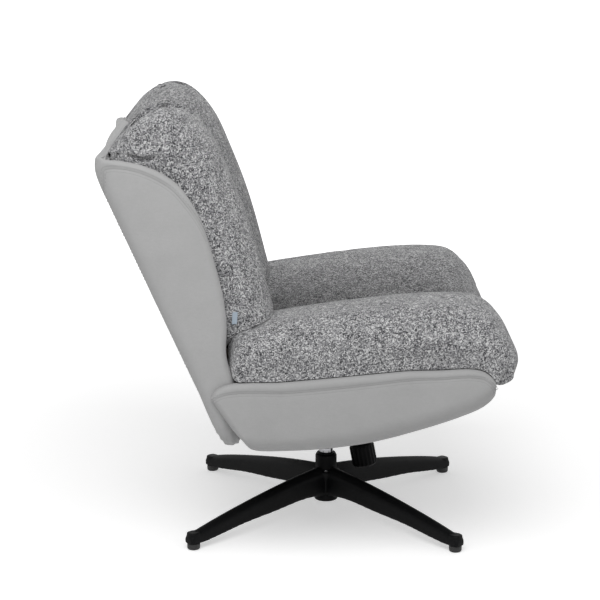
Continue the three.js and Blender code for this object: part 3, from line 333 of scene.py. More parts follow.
class Shell:
    """Skin of a shell as a grid: rows run from the left rim round the keel to the right rim.

    A row joins a rim point and a heel point of the side view by a straight side, turns there by
    a quarter ellipse and runs on to the middle plane. Its points are moved from heel to keel by
    the square of 1 - (y / half width)^2 of the way.
    """

    def __init__(self, rim, heel, keel, half, corner, columns=60):
        depth = np.linalg.norm(heel - rim, axis=1)
        round_deep = np.minimum(corner[0], depth * 0.9)
        round_wide = np.minimum(corner[1], half * 0.9)
        turn = np.linspace(0, np.pi / 2, 40)[None]
        even = np.linspace(0, 1, 160)[None]
        along = np.concatenate([
            even[:, :-1] * (depth - round_deep)[:, None],
            (depth - round_deep)[:, None] + round_deep[:, None] * np.sin(turn),
            np.broadcast_to(depth[:, None], (len(rim), 159)),
        ], axis=1) / np.maximum(depth, 1e-9)[:, None]
        y = np.concatenate([
            np.broadcast_to(half[:, None], (len(rim), 159)),
            (half - round_wide)[:, None] + round_wide[:, None] * np.cos(turn),
            (half - round_wide)[:, None] * (1 - even[:, 1:]),
        ], axis=1)
        along = np.where(depth[:, None] < 1e-6, np.clip(1 - (y / half[:, None]) ** 40, 0, 1), along)
        bow = ((1 - (y / half[:, None]) ** 2) ** 2)[..., None]
        place = rim[:, None] + (heel - rim)[:, None] * along[..., None] + (keel - heel)[:, None] * bow
        rows = np.stack([place[..., 0], y, place[..., 1]], axis=-1)
        steps = np.linalg.norm(np.diff(rows, axis=1), axis=-1)
        run = np.concatenate([np.zeros((len(rows), 1)), np.cumsum(steps, axis=1)], axis=1)
        run += np.arange(run.shape[1])[None] * 1e-9
        self.from_rim = np.stack([edged(length, columns) for length in run[:, -1]])
        left = along_rows(rows, run, self.from_rim)
        right = left[:, -2::-1] * MIRROR
        self.skin = np.concatenate([left, right], axis=1)
        self.from_rim = np.concatenate([self.from_rim, self.from_rim[:, -2::-1]], axis=1)
        self.normal = normals_of(self.skin)
        inside = self.skin.mean(axis=(0, 1))
        if ((self.skin - inside) * self.normal).sum() < 0:
            self.normal = -self.normal
        self.columns = left.shape[1]

    def border(self):
        """The closed edge of the grid as one path."""
        skin = self.skin
        return np.concatenate([skin[0], skin[1:, -1], skin[-1, -2::-1], skin[-2::-1, 0]])

    def locate(self, row_run, places):
        """Rows and columns, with fractions, of places given as (distance along the rows' run,
        distance from the left rim)."""
        row = np.interp(places[:, 0], row_run, np.arange(len(row_run)))
        low = np.minimum(row.astype(int), len(row_run) - 2)
        share = (row - low)[:, None]
        half = self.from_rim[:, :self.columns]
        distances = half[low] * (1 - share) + half[low + 1] * share
        want = places[:, 1:]
        index = np.clip((distances < want).sum(1) - 1, 0, self.columns - 2)
        at = np.arange(len(index))
        below, above = distances[at, index], distances[at, index + 1]
        return row, index + np.clip((want[:, 0] - below) / (above - below), 0, 1)

    def read(self, grid, row, column):
        """Values of a grid between its points, by straight interpolation both ways."""
        low_row = np.clip(row.astype(int), 0, grid.shape[0] - 2)
        low_column = np.clip(column.astype(int), 0, grid.shape[1] - 2)
        down = (row - low_row)[:, None]
        over = (column - low_column)[:, None]
        near = grid[low_row, low_column] * (1 - over) + grid[low_row, low_column + 1] * over
        far = grid[low_row + 1, low_column] * (1 - over) + grid[low_row + 1, low_column + 1] * over
        return near * (1 - down) + far * down


def drawn_in(half, run, radius):
    """Half widths that draw in over the last part of the rows by nearly a quarter circle."""
    share = np.clip(1 - (run[-1] - run) / radius, 0, 1)
    return half - 0.9 * radius * (1 - np.sqrt(1 - share**2))


def both_sides(path):
    """A path and its mirror image on the other side of the chair."""
    return [path, path * MIRROR]


def close_shell(name, shell, wall, seams, puff, relief=None, hole=None):
    """Closes a shell's skin into a wall with round edges, and sews its seams in.

    Half the wall lies each side of a middle face. Within half a wall of the edge, at distance
    d, the half thickness h shrinks to h * sqrt(1 - (1 - d/h)^2), a half circle. Outside, a seam
    is a valley beside which the panels puff up, and relief adds heights to the outer face.
    """
    half = wall / 2
    rows, columns = shell.skin.shape[:2]
    flat = shell.skin.reshape(-1, 3)
    edge, _ = distance_to(flat, shell.border())
    share = np.clip(edge / half, 0, 1)
    thick = (half * np.sqrt(1 - (1 - share) ** 2))[:, None]
    normal = shell.normal.reshape(-1, 3)
    middle = flat - half * normal
    seam = np.full(len(flat), 1.0)
    for path in seams:
        seam = np.minimum(seam, distance_to(flat, path)[0])
    height = puff * (1 - bell(seam, PUFF_REACH)) * share
    height -= SEAM_DEPTH * bell(seam, STITCH_SPREAD / 2) * share
    if relief is not None:
        height = height + relief.ravel() * share
    outer = middle + (thick + height[:, None]) * normal
    inner = middle - thick * normal
    faces = grid_faces(rows, columns)
    kept = np.ones(len(faces), bool)
    if hole is not None:
        centre = flat[faces].mean(axis=1)
        kept = ~((centre > hole[0]) & (centre < hole[1])).all(axis=1)
    faces = faces[kept]
    edges = np.concatenate([faces[:, [at, (at + 1) % 4]] for at in range(4)])
    key = np.sort(edges, axis=1) @ np.array([len(flat), 1])
    _, back, count = np.unique(key, return_inverse=True, return_counts=True)
    open_edges = edges[count[back] == 1]
    inner_edge = edge[open_edges].max(axis=1) > 1e-9
    walls = open_edges[inner_edge]
    if hole is not None:
        snap_to_hole(outer, inner, walls, hole)
    side = np.stack([walls[:, 0], walls[:, 1], walls[:, 1] + len(flat), walls[:, 0] + len(flat)], axis=1)
    all_faces = np.concatenate([faces, faces[:, ::-1] + len(flat), side])
    piece = mesh_object(name, np.concatenate([outer, inner]), all_faces)
    placed = coordinates(piece.data)
    distance, across = np.full(len(placed), 1.0), np.zeros(len(placed))
    for path in seams:
        near, side = side_of(placed, path, shell.skin.mean(axis=(0, 1)))
        across = np.where(near < distance, side, across)
        distance = np.minimum(distance, near)
    store(piece.data, "seam_distance", distance)
    store(piece.data, "seam_side", across)
    return piece, outer.reshape(rows, columns, 3)


def side_of(points, path, inside):
    """Distance of every point to a path, and how far the point lies to one side of it.

    The second is the way from path to point along the unit cross product of the path's direction
    with the way out from inside, and passes evenly through 0 at the path.
    """
    near, place = distance_to(points, path)
    run = lengths_of(path)
    foot, way = (between(values, run, place) for values in (path, np.gradient(path, axis=0)))
    return near, ((points - foot) * unit(np.cross(way, foot - inside))).sum(1)


def snap_to_hole(outer, inner, walls, hole):
    """Moves the vertices of a hole's edge onto the nearest side of its box."""
    rim = np.unique(walls)
    place = outer[rim, :2]
    low, high = hole[0][:2], hole[1][:2]
    gaps = np.stack([abs(place - low), abs(place - high)], axis=1).reshape(len(rim), 4)
    nearest = gaps.argmin(axis=1)
    value = np.concatenate([low, high])[nearest]
    outer[rim, nearest % 2] = value
    inner[rim, nearest % 2] = value


def stitches(name, runs, length=0.0046, gap=0.0022, radius=0.00055):
    """Rows of short threads along paths: each thread is a six-sided rod whose rings bulge in the
    middle and sink at both ends. A run is (path, normals)."""
    around = np.arange(6) * (2 * np.pi / 6)
    ring_place = np.array([-0.5, -0.42, -0.2, 0.2, 0.42, 0.5])
    ring_size = np.array([0.35, 0.8, 1, 1, 0.8, 0.35])
    ring_rise = np.array([-1.0, 0, 0.55, 0.55, 0, -1.0])
    points, faces, first = [], [], 0
    for path, normal in runs:
        run = lengths_of(path)
        count = int(run[-1] / (length + gap))
        if count < 1:
            continue
        centre_at = (np.arange(count) + 0.5) * (length + gap)
        at = centre_at[:, None] + ring_place[None] * length
        centre = between(path, run, at)
        up = unit(between(normal, run, at))
        across = np.cross(unit(centre[:, -1:] - centre[:, :1]), up)
        centre = centre + up * (ring_rise * radius)[None, :, None]
        out = np.cos(around)[:, None] * up[:, :, None] + np.sin(around)[:, None] * across[:, :, None]
        rings = centre[:, :, None] + out * (ring_size * radius)[None, :, None, None]
        points.append(rings.reshape(-1, 3))
        one = grid_faces(len(ring_place), 6, around=True)
        starts = first + np.arange(count)[:, None, None] * (len(ring_place) * 6)
        faces.extend((starts + one[None]).reshape(-1, 4).tolist())
        ends = np.concatenate([np.arange(6)[None, ::-1], (np.arange(6) + (len(ring_place) - 1) * 6)[None]])
        faces.extend((starts + ends[None]).reshape(-1, 6).tolist())
        first += count * len(ring_place) * 6
    return mesh_object(name, np.concatenate(points), faces)


def shell_rows(curves, count):
    """Side-view curves of a shell at matching distances, close together near both ends.

    The last curve is read at the distances themselves. The others are read at the same distances
    near their ends, and in between the difference of the lengths is made up along a smooth step.
    """
    curves = [smooth_path(side_view(points)) for points in curves]
    lengths = [lengths_of(curve)[-1] for curve in curves]
    run = edged(lengths[-1], count, both=True)
    ends = EDGE_STEPS[-1]
    share = smooth_step(run, ends, lengths[-1] - ends)
    matched = [
        at_lengths(curve, run + (length - lengths[-1]) * share) for curve, length in zip(curves, lengths)
    ]
    return matched, run


def on_shell(shell, outer, run, places, steps=240):
    """A path on a shell's outer face through (distance along the rows, distance from the rim)
    places, with its normals."""
    route = even_path(smooth_path(np.array(places, float) * MM), steps)
    row, column = shell.locate(run, route)
    return shell.read(outer, row, column), shell.read(shell.normal, row, column)


def beside(path, normal, offset):
    """A path moved sideways over the surface by offset."""
    return path + np.cross(unit(np.gradient(path, axis=0)), normal) * offset, normal


def sewn(name, seam, spread):
    """Two rows of stitches beside a seam (path, normals), on both sides of the chair, at half a
    spread."""
    runs = []
    for side in (-0.5, 0.5):
        line, up = beside(*seam, side * spread)
        runs += [(line, up), (line * MIRROR, up * MIRROR)]
    return finish_piece(stitches(name, runs), "seat", thread_material(), "grey_leather")


# Pads

SEAT_PAD = [
    (-199, 404), (-198, 424), (-188, 437), (-160, 443), (-116, 450), (-60, 459), (-4, 467),
    (52, 474), (107, 480), (158, 484), (208, 486), (240, 485), (270, 482), (293, 470), (314, 444),
    (329, 421), (341, 401), (345, 385), (343, 369), (332, 355), (313, 344), (292, 339), (262, 341),
    (120, 346),
    (0, 346), (-120, 346), (-180, 350), (-195, 374),
]
SEAT_PAD_LINE = [(-130, 398), (270, 412)]
BACK_PAD = [
    (-104, 430), (-119, 486), (-142, 573), (-162, 637), (-192, 714), (-217, 774), (-244, 814),
    (-268, 836), (-296, 847), (-318, 847), (-342, 838), (-368, 817), (-390, 788), (-402, 764),
    (-407, 742), (-401, 712), (-386, 676), (-364, 640), (-318, 560), (-276, 470), (-246, 412),
    (-222, 402), (-170, 398), (-116, 402),
]
BACK_PAD_LINE = [(-196, 470), (-310, 780)]
# Gaps from a pad to a shell and from pad to pad
SHELL_GAP, PAD_GAP = 0.0012, 0.0015


def pad_surface(outline, line, face_way, half, form, around=84, across=61):
    """Two lobes side by side as a closed grid of stations across, each a ring of the outline.

    A ring point lies between the nearest place on the pad's middle line and the outline. At
    distance y from the middle, its share of that way falls to the sides as
    end + (1 - end) * (1 - e^n)^(1/n), where e is how far y is into the rounded side, and n is
    higher underneath than on the face. On the face it is also less by an arch from each
    crest down to the sewn channel, 1 - cos of a quarter turn of the way, and by a crown
    outside the crest. Last, y is scaled by the form's width function of the share of the pad's
    length (0) or height (1).
    """
    ring = even_path(smooth_path(side_view(outline), closed=True), around + 1)[:-1]
    start, end = side_view(line)
    step = end - start
    share = np.clip(((ring - start) @ step) / (step @ step), 0, 1)
    heart = start + share[:, None] * step
    along = np.roll(ring, -1, axis=0) - np.roll(ring, 1, axis=0)
    normal = unit(np.stack([-along[:, 1], along[:, 0]], axis=1))
    normal *= np.sign(((ring - heart) * normal).sum(1, keepdims=True))
    looks = facing(normal, face_way)
    face = smooth_step(looks, form["face_low"], form["face_low"] + 0.7)
    reach = np.linalg.norm(ring - heart, axis=1)
    turn = np.linspace(-1, 1, across)
    place = half * np.sign(turn) * (1 - (1 - abs(turn)) ** 1.6) ** 0.8
    distance = abs(place)[:, None]
    edge = np.clip((distance - half + form["side"]) / form["side"], 0, 1)
    above = smooth_step(looks, -0.95, -0.2)
    power = form["under_power"] + (form["face_power"] - form["under_power"]) * above
    keep = form["end"] + (1 - form["end"]) * (1 - edge**power) ** (1 / power)
    into = np.clip(1 - distance / form["crest"], 0, 1)
    arch = form["valley"] * (1 - np.cos(into * np.pi / 2))
    crown = form["crown"] * np.clip(distance / form["crest"] - 1, 0, None) ** 2
    shrink = keep * (reach - (arch + crown) * face) / reach
    skin = heart[None] + (ring - heart)[None] * shrink[..., None]
    share = (skin - ring.min(axis=0)) / np.ptp(ring, axis=0)
    wide = place[:, None] * form["width"](share[..., form["width_along"]])
    return np.stack([skin[..., 0], np.broadcast_to(wide, skin.shape[:2]), skin[..., 1]], axis=-1)


def pad_mesh(name, grid, voxel):
    """A closed mesh of a pad's grid, its two ends closed by fans, rebuilt in even small faces."""
    stations, around = grid.shape[:2]
    points = grid.reshape(-1, 3)
    ends = np.stack([grid[0].mean(axis=0), grid[-1].mean(axis=0)])
    faces = grid_faces(stations, around, around=True).tolist()
    at = np.arange(around)
    after = (at + 1) % around
    last = (stations - 1) * around
    middle = np.full(around, len(points))
    faces += np.stack([after, at, middle], axis=1).tolist()
    faces += np.stack([last + at, last + after, middle + 1], axis=1).tolist()
    piece = mesh_object(name, np.concatenate([points, ends]), faces)
    remesh = piece.modifiers.new("Even faces", "REMESH")
    remesh.mode = "VOXEL"
    remesh.voxel_size = voxel
    smooth = piece.modifiers.new("Soften", "SMOOTH")
    smooth.factor, smooth.iterations = 0.5, 6
    return apply_modifiers(piece)


def swell(piece, pressure, frames, cap, freedom):
    """Blows a pad up by cloth simulation. A point moves no further than the cap times its
    freedom, from 0 for what is held to 1 on the face."""
    rest, normal = coordinates(piece.data), vertex_normals(piece.data)
    cloth = piece.modifiers.new("Swell", "CLOTH")
    cloth.settings.use_pressure = True
    cloth.settings.uniform_pressure_force = pressure
    cloth.settings.effector_weights.gravity = 0
    cloth.settings.quality = 4
    cloth.settings.mass = 0.3
    cloth.settings.tension_stiffness = 12
    cloth.settings.compression_stiffness = 12
    cloth.settings.shear_stiffness = 6
    cloth.settings.bending_stiffness = 0.6
    scene = bpy.context.scene
    for moment in range(1, frames + 1):
        scene.frame_set(moment)
    shape = piece.evaluated_get(bpy.context.evaluated_depsgraph_get())
    moved = coordinates(shape.data) - rest
    piece.modifiers.clear()
    scene.frame_set(1)
    length = np.maximum(np.linalg.norm(moved, axis=1, keepdims=True), 1e-9)
    limit = (cap * freedom)[:, None]
    moved *= limit * np.tanh(length / np.maximum(limit, 1e-6)) / length
    place_vertices(piece.data, rest + moved)
    return (moved * normal).sum(1)


def keep_clear(piece, other, gap):
    """Pushes the points of a soft piece that lie inside another piece out to a small gap."""
    wrap = piece.modifiers.new("Keep clear", "SHRINKWRAP")
    wrap.target = bpy.data.objects[other]
    wrap.wrap_method = "NEAREST_SURFACEPOINT"
    wrap.wrap_mode = "OUTSIDE"
    wrap.offset = gap
    apply_modifiers(piece)


def subdivided(piece):
    """One subdivision, the same on screen and in the render."""
    finer = piece.modifiers.new("Finer", "SUBSURF")
    finer.levels = finer.render_levels = 1
    return apply_modifiers(piece)


def press(piece, amount):
    """Moves each point inwards along its normal by its amount."""
    mesh = piece.data
    place_vertices(mesh, coordinates(mesh) - vertex_normals(mesh) * np.asarray(amount)[:, None])


# Turned and swept metal and plastic

def turned(profile, sides):
    """Grid of a profile of (radius, height) pairs turned once round the vertical axis."""
    angle = np.arange(sides) * (2 * np.pi / sides)
    reach = profile[:, :1]
    height = np.broadcast_to(profile[:, 1:], (len(profile), sides))
    return np.stack([reach * np.cos(angle), reach * np.sin(angle), height], axis=-1)


def turned_object(name, corners, radius, centre, sides, closed=True):
    """A piece turned on a vertical axis, with its corners rounded. A closed profile returns to its
    first point, and one that is not begins and ends on the axis."""
    profile = rounded(corners, radius, closed)
    if closed:
        profile = np.concatenate([profile, profile[:1]])
    points = turned(profile, sides).reshape(-1, 3) + np.array(centre)
    return mesh_object(name, points, grid_faces(len(profile), sides, around=True))


def rounded(profile, radius, closed=True):
    """A profile with each corner replaced by an arc-like curve that starts a radius before it.

    Between its ends A and B and the corner C, the curve is (1-s)^2 A + 2 s (1-s) C + s^2 B.
    """
    profile = np.asarray(profile, float)
    before = np.roll(profile, 1, axis=0)
    after = np.roll(profile, -1, axis=0)
    if not closed:
        before[0], after[-1] = profile[0], profile[-1]
    to_before, to_after = before - profile, after - profile
    length_before = np.maximum(np.linalg.norm(to_before, axis=1, keepdims=True), 1e-9)
    length_after = np.maximum(np.linalg.norm(to_after, axis=1, keepdims=True), 1e-9)
    start = profile + to_before / length_before * np.minimum(radius, length_before * 0.45)
    end = profile + to_after / length_after * np.minimum(radius, length_after * 0.45)
    s = np.linspace(0, 1, ROUNDING_STEPS)[None, :, None]
    curve = (1 - s) ** 2 * start[:, None] + 2 * s * (1 - s) * profile[:, None] + s**2 * end[:, None]
    curve = curve.reshape(-1, profile.shape[1])
    if not closed:
        curve = np.concatenate([profile[:1], curve[ROUNDING_STEPS:-ROUNDING_STEPS], profile[-1:]])
    return curve


LEG_TOP = [(0, 92), (28, 90), (83, 84), (153, 74), (232, 60), (300, 46), (340, 36), (365, 29)]
LEG_BOTTOM = [(0, 34), (25, 35), (70, 38), (154, 31), (232, 25), (298, 16), (334, 12), (365, 12)]


def leg_rings(reach, root_width, tip_width, count=90):
    """Rings of one leg along +X from the column's axis, with a narrow ridge on top.

    Each ring is an outline of corners whose width falls evenly from root to tip and whose height
    lies between the two side-view curves. The last rings close in to the rounded tip.
    """
    top = smooth_path(np.array(LEG_TOP, float) * MM)
    bottom = smooth_path(np.array(LEG_BOTTOM, float) * MM)
    run = np.concatenate([np.linspace(0, 0.985, count), [0.992, 0.997, 1.0]]) * reach
    high = np.interp(run, top[:, 0], top[:, 1])
    low = np.interp(run, bottom[:, 0], bottom[:, 1])
    width = root_width + (tip_width - root_width) * run / reach
    inset = np.concatenate([np.zeros(count), [0.0010, 0.0024, 0.0045]])
    high, low, half = high - inset, low + inset * 0.3, width / 2 - inset
    corner_y = np.array([-0.62, -0.9, -1, -1, -0.84, -0.42, -0.12, 0.12, 0.42, 0.84, 1, 1, 0.9, 0.62])
    corner_z = np.array([0, 0, 0.1, 0.66, 0.79, 0.93, 1, 1, 0.93, 0.79, 0.66, 0.1, 0, 0])
    y = half[:, None] * corner_y[None]
    z = low[:, None] + (high - low)[:, None] * corner_z[None]
    x = np.broadcast_to(run[:, None], y.shape)
    return np.stack([x, y, z], axis=-1)


def capped(grid, first=0):
    """Faces of a tube of rings with both of its ends closed."""
    rings, around = grid.shape[:2]
    faces = grid_faces(rings, around, around=True, first=first).tolist()
    faces.append((first + np.arange(around)[::-1]).tolist())
    faces.append((first + (rings - 1) * around + np.arange(around)).tolist())
    return faces


def turned_about(points, angle):
    """Points turned about the vertical axis through the origin."""
    c, s = math.cos(angle), math.sin(angle)
    return points @ np.array([[c, s, 0], [-s, c, 0], [0, 0, 1]])


# Shader node groups

def new_group(name, inputs):
    """An empty shader node group with its input and output nodes.

    The inputs are given as (label, kind, value), and every group gives a colour, a height for
    the bump and a roughness.
    """
    group = bpy.data.node_groups.new(name, "ShaderNodeTree")
    for label, kind, value in inputs:
        socket = group.interface.new_socket(label, in_out="INPUT", socket_type=f"NodeSocket{kind}")
        socket.default_value = value
    for label, kind in (("Color", "Color"), ("Height", "Float"), ("Roughness", "Float")):
        group.interface.new_socket(label, in_out="OUTPUT", socket_type=f"NodeSocket{kind}")
    return group, group.nodes.new("NodeGroupInput"), group.nodes.new("NodeGroupOutput")


class Nodes:
    """Short ways to add linked shader nodes to a node tree."""

    def __init__(self, tree):
        self.tree = tree

    def add(self, kind, settings=None, **inputs):
        """A new node with its settings made and its inputs fed."""
        node = self.tree.nodes.new(f"ShaderNode{kind}")
        for name, value in (settings or {}).items():
            setattr(node, name, value)
        for label, value in inputs.items():
            self.feed(node.inputs[label.replace("_", " ")], value)
        return node

    def feed(self, socket, value):
        """Links another socket to this one, or sets a plain value."""
        if isinstance(value, bpy.types.NodeSocket):
            self.tree.links.new(value, socket)
        else:
            socket.default_value = value

    def math(self, operation, first, second=0.0, third=0.0):
        """One number from up to three."""
        node = self.add("Math", {"operation": operation})
        for socket, value in zip(node.inputs, (first, second, third)):
            self.feed(socket, value)
        return node.outputs[0]

    def mix(self, share, first, second):
        """A colour between two others."""
        node = self.add("Mix", {"data_type": "RGBA"})
        for socket, value in zip((0, 6, 7), (share, first, second)):
            self.feed(node.inputs[socket], value)
        return node.outputs[2]

    def scaled(self, colour, share):
        """A colour times a number."""
        node = self.add("VectorMath", {"operation": "SCALE"})
        self.feed(node.inputs[0], colour)
        self.feed(node.inputs["Scale"], share)
        return node.outputs[0]

    def steps(self, value, low, high, to_low=0.0, to_high=1.0, smooth=False):
        """A value moved from one range to another and held to it."""
        node = self.add("MapRange", {"interpolation_type": "SMOOTHSTEP" if smooth else "LINEAR"})
        for socket, number in zip(node.inputs, (value, low, high, to_low, to_high)):
            self.feed(socket, number)
        return node.outputs[0]

    def stretched(self, place, scale):
        """Places scaled along each axis."""
        node = self.add("Mapping", Vector=place)
        node.inputs["Scale"].default_value = scale
        return node.outputs[0]

    def noise(self, place, scale, detail=3.0, rough=0.55):
        """Soft noise from 0 to 1."""
        node = self.add("TexNoise", Vector=place, Scale=scale, Detail=detail, Roughness=rough)
        return node.outputs["Fac"]

    def stored(self, name):
        """One of the mesh's own attributes."""
        return self.add("Attribute", {"attribute_name": name}).outputs["Fac"]

    def cells(self, place, scale, feature="F1"):
        """A pattern of uneven cells."""
        return self.add("TexVoronoi", {"feature": feature}, Vector=place, Scale=scale)


def tweed_group():
    """Slubby yarn: flat and upright flecks of dark, middle and light grey, each a stretched cell
    with a rounded height, over a fine fuzz. The colour is darkened by painted shade for the
    valley between a pad's lobes."""
    group, given, result = new_group("Tweed yarn", [
        ("Place", "Vector", (0, 0, 0)), ("Dark", "Color", (0.01, 0.01, 0.01, 1)),
        ("Middle", "Color", (0.2, 0.2, 0.2, 1)), ("Light", "Color", (0.6, 0.6, 0.6, 1)),
        ("Hollow", "Float", 0.0),
    ])
    make = Nodes(group)
    place = given.outputs["Place"]
    bend = make.add("TexNoise", Vector=place, Scale=210.0, Detail=1.0)
    shake = make.add("VectorMath", {"operation": "MULTIPLY_ADD"})
    make.feed(shake.inputs[0], bend.outputs["Color"])
    shake.inputs[1].default_value = (0.003, 0.003, 0.003)
    make.feed(shake.inputs[2], place)
    place = shake.outputs[0]
    flat = make.cells(make.stretched(place, (0.62, 0.62, 1.35)), 560.0)
    upright = make.cells(make.stretched(place, (1.3, 1.3, 0.6)), 520.0)
    choose = make.steps(make.noise(place, 150.0, 1.0), 0.47, 0.53)
    tone_flat = make.add("SeparateColor", Color=flat.outputs["Color"]).outputs["Red"]
    tone_upright = make.add("SeparateColor", Color=upright.outputs["Color"]).outputs["Green"]
    tone = make.math("ADD", make.math("MULTIPLY", tone_flat, choose),
                     make.math("MULTIPLY", tone_upright, make.math("SUBTRACT", 1.0, choose)))
    patch = make.steps(make.noise(place, 38.0, 2.0), 0.3, 0.7, -0.09, 0.09)
    fuzz = make.steps(make.noise(place, 900.0, 2.0), 0.3, 0.7, -0.1, 0.1)
    tone = make.math("ADD", make.math("ADD", tone, patch), fuzz)
    low = make.mix(make.steps(tone, 0.1, 0.4), given.outputs["Dark"], given.outputs["Middle"])
    colour = make.mix(make.steps(tone, 0.52, 0.95), low, given.outputs["Light"])
    # Painted shade: the yarn's colour is darkened where the valley between the lobes lies in shade
    lit = make.math("SUBTRACT", 1.0, given.outputs["Hollow"])
    make.feed(result.inputs["Color"], make.scaled(colour, lit))
    gap = make.math("MINIMUM", flat.outputs["Distance"], upright.outputs["Distance"])
    dome = make.steps(gap, 0.0, 0.75, 1.0, 0.0)
    make.feed(result.inputs["Height"], make.math("ADD", dome, make.math("MULTIPLY", fuzz, 1.6)))
    make.feed(result.inputs["Roughness"], make.steps(tone, 0.0, 1.0, 0.96, 0.86))
    return group


def hide_group():
    """Brushed leather: broad cloudy patches, a fine pebble of cells with creases between them,
    and where a seam is, a thin line and painted shade in its valley."""
    group, given, result = new_group("Brushed hide", [
        ("Place", "Vector", (0, 0, 0)), ("Seam", "Float", 1.0), ("Tone", "Color", (0.4, 0.4, 0.4, 1)),
        ("Cloud", "Float", 0.06),
    ])
    make = Nodes(group)
    place, seam = given.outputs["Place"], given.outputs["Seam"]
    cloud = make.steps(make.noise(place, 16.0, 4.0, 0.6), 0.25, 0.75, -1.0, 1.0)
    brushed = make.stretched(place, (1.0, 1.0, 2.2))
    nap = make.steps(make.noise(brushed, 130.0, 3.0), 0.25, 0.75, -1.0, 1.0)
    pebble = make.cells(place, 900.0, "DISTANCE_TO_EDGE")
    crease = make.steps(pebble.outputs["Distance"], 0.0, 0.09, 1.0, 0.0)
    line = make.steps(seam, 0.0003, 0.0012, 1.0, 0.0, smooth=True)
    row_gap = make.math("ABSOLUTE", make.math("SUBTRACT", seam, STITCH_SPREAD / 2))
    row = make.steps(row_gap, 0.0003, 0.0011, 1.0, 0.0, smooth=True)
    # Painted shade in the seam's valley: darker within a few millimetres of the seam
    valley = make.steps(seam, 0.0008, 0.0065, 1.0, 0.0, smooth=True)
    shade = make.math("MULTIPLY", cloud, given.outputs["Cloud"])
    for mask, strength in ((nap, 0.025), (crease, -0.05), (valley, -0.035), (line, -0.09), (row, -0.12)):
        shade = make.math("MULTIPLY_ADD", mask, strength, shade)
    make.feed(result.inputs["Color"], make.scaled(given.outputs["Tone"], make.math("ADD", shade, 1.0)))
    height = make.math("MULTIPLY_ADD", crease, -0.35, make.math("MULTIPLY", nap, 0.3))
    make.feed(result.inputs["Height"], make.math("MULTIPLY_ADD", line, -3.0, height))
    make.feed(result.inputs["Roughness"], make.math("MULTIPLY_ADD", cloud, 0.04, 0.62))
    return group


def speckle_group():
    """A fine even grain for coated, moulded and plated faces, with slow changes of tone."""
    group, given, result = new_group("Fine grain", [
        ("Place", "Vector", (0, 0, 0)), ("Tone", "Color", (0.1, 0.1, 0.1, 1)), ("Size", "Float", 900.0),
        ("Depth", "Float", 0.1), ("Roughness", "Float", 0.5), ("Spread", "Float", 0.05),
    ])
    make = Nodes(group)
    place = given.outputs["Place"]
    grain = make.steps(make.noise(place, given.outputs["Size"], 2.0), 0.25, 0.75, -1.0, 1.0)
    slow = make.steps(make.noise(place, 24.0, 4.0, 0.6), 0.25, 0.75, -1.0, 1.0)
    shade = make.math("MULTIPLY", make.math("ADD", grain, slow), given.outputs["Depth"])
    make.feed(result.inputs["Color"], make.scaled(given.outputs["Tone"], make.math("ADD", shade, 1.0)))
    make.feed(result.inputs["Height"], grain)
    rough = make.math("MULTIPLY_ADD", slow, given.outputs["Spread"], given.outputs["Roughness"])
    make.feed(result.inputs["Roughness"], rough)
    return group


groups = {}


def group_named(name):
    """The node group of that name, built the first time that it is asked for."""
    if name not in groups:
        groups[name] = {"tweed": tweed_group, "hide": hide_group, "grain": speckle_group}[name]()
    return groups[name]


def painted(name, group, colours, bump, distance, seam=False, **sockets):
    """A material whose colour, roughness and bump come from a node group on Object coordinates,
    with the shader's other sockets set to plain values."""
    material = bpy.data.materials.new(name)
    material.use_nodes = True
    make = Nodes(material.node_tree)
    shader = material.node_tree.nodes["Principled BSDF"]
    place = make.add("TexCoord").outputs["Object"]
    node = make.tree.nodes.new("ShaderNodeGroup")
    node.node_tree = group_named(group)
    make.feed(node.inputs["Place"], place)
    for label, value in colours.items():
        node.inputs[label].default_value = value
    # Painted valley shade: the pads keep how much shade to paint into their colour
    if "Hollow" in node.inputs:
        make.feed(node.inputs["Hollow"], make.stored("hollow"))
    if seam:
        far_off = make.math("SUBTRACT", make.stored("seam_distance"), SEAM_BAND)
        across = make.math("ABSOLUTE", make.stored("seam_side"))
        make.feed(node.inputs["Seam"], make.math("MAXIMUM", across, far_off))
    relief = make.add("Bump", Height=node.outputs["Height"])
    relief.inputs["Strength"].default_value = bump
    relief.inputs["Distance"].default_value = distance
    make.feed(shader.inputs["Base Color"], node.outputs["Color"])
    make.feed(shader.inputs["Roughness"], node.outputs["Roughness"])
    make.feed(shader.inputs["Normal"], relief.outputs["Normal"])
    for label, value in sockets.items():
        shader.inputs[label.replace("_", " ")].default_value = value
    return material


def linear(colour):
    """A colour given as shown on screen, as the shader's linear light: ((c + 0.055) / 1.055)^2.4."""
    shown = np.array(colour[:3], float)
    light = np.where(shown <= 0.04045, shown / 12.92, ((shown + 0.055) / 1.055) ** 2.4)
    return (*light.tolist(), 1.0)


def grey(level, blue=0.0):
    """A grey of that level out of 255 as shown on screen, a little bluer by blue."""
    return linear((level / 255, level / 255, (level + blue) / 255))


def tweed_material(colours):
    """The pads' tweed: yarn in three tones with a soft sheen."""
    return painted(
        "Grey tweed", "tweed",
        {"Dark": linear(colours.tweed_dark), "Middle": linear(colours.tweed_middle),
         "Light": linear(colours.tweed_light)},
        bump=0.75, distance=0.0011, Sheen_Weight=0.25, Sheen_Roughness=0.6, Specular_IOR_Level=0.15,
    )


def hide_material(name, tone):
    """A shell's brushed leather, which reads where its seams are."""
    return painted(
        name, "hide", {"Tone": linear(tone), "Cloud": 0.045}, bump=0.35, distance=0.0006, seam=True,
        Sheen_Weight=0.12, Sheen_Roughness=0.5, Specular_IOR_Level=0.3,
    )


def grained(name, tone, size, depth, rough, spread, bump, metal=0.0, **sockets):
    """A coated, moulded, plated or woven finish from the fine grain."""
    return painted(
        name, "grain",
        {"Tone": tone, "Size": size, "Depth": depth, "Roughness": rough, "Spread": spread},
        bump, distance=0.0002, Metallic=metal, **sockets,
    )


# Sizes and colours that a user may change

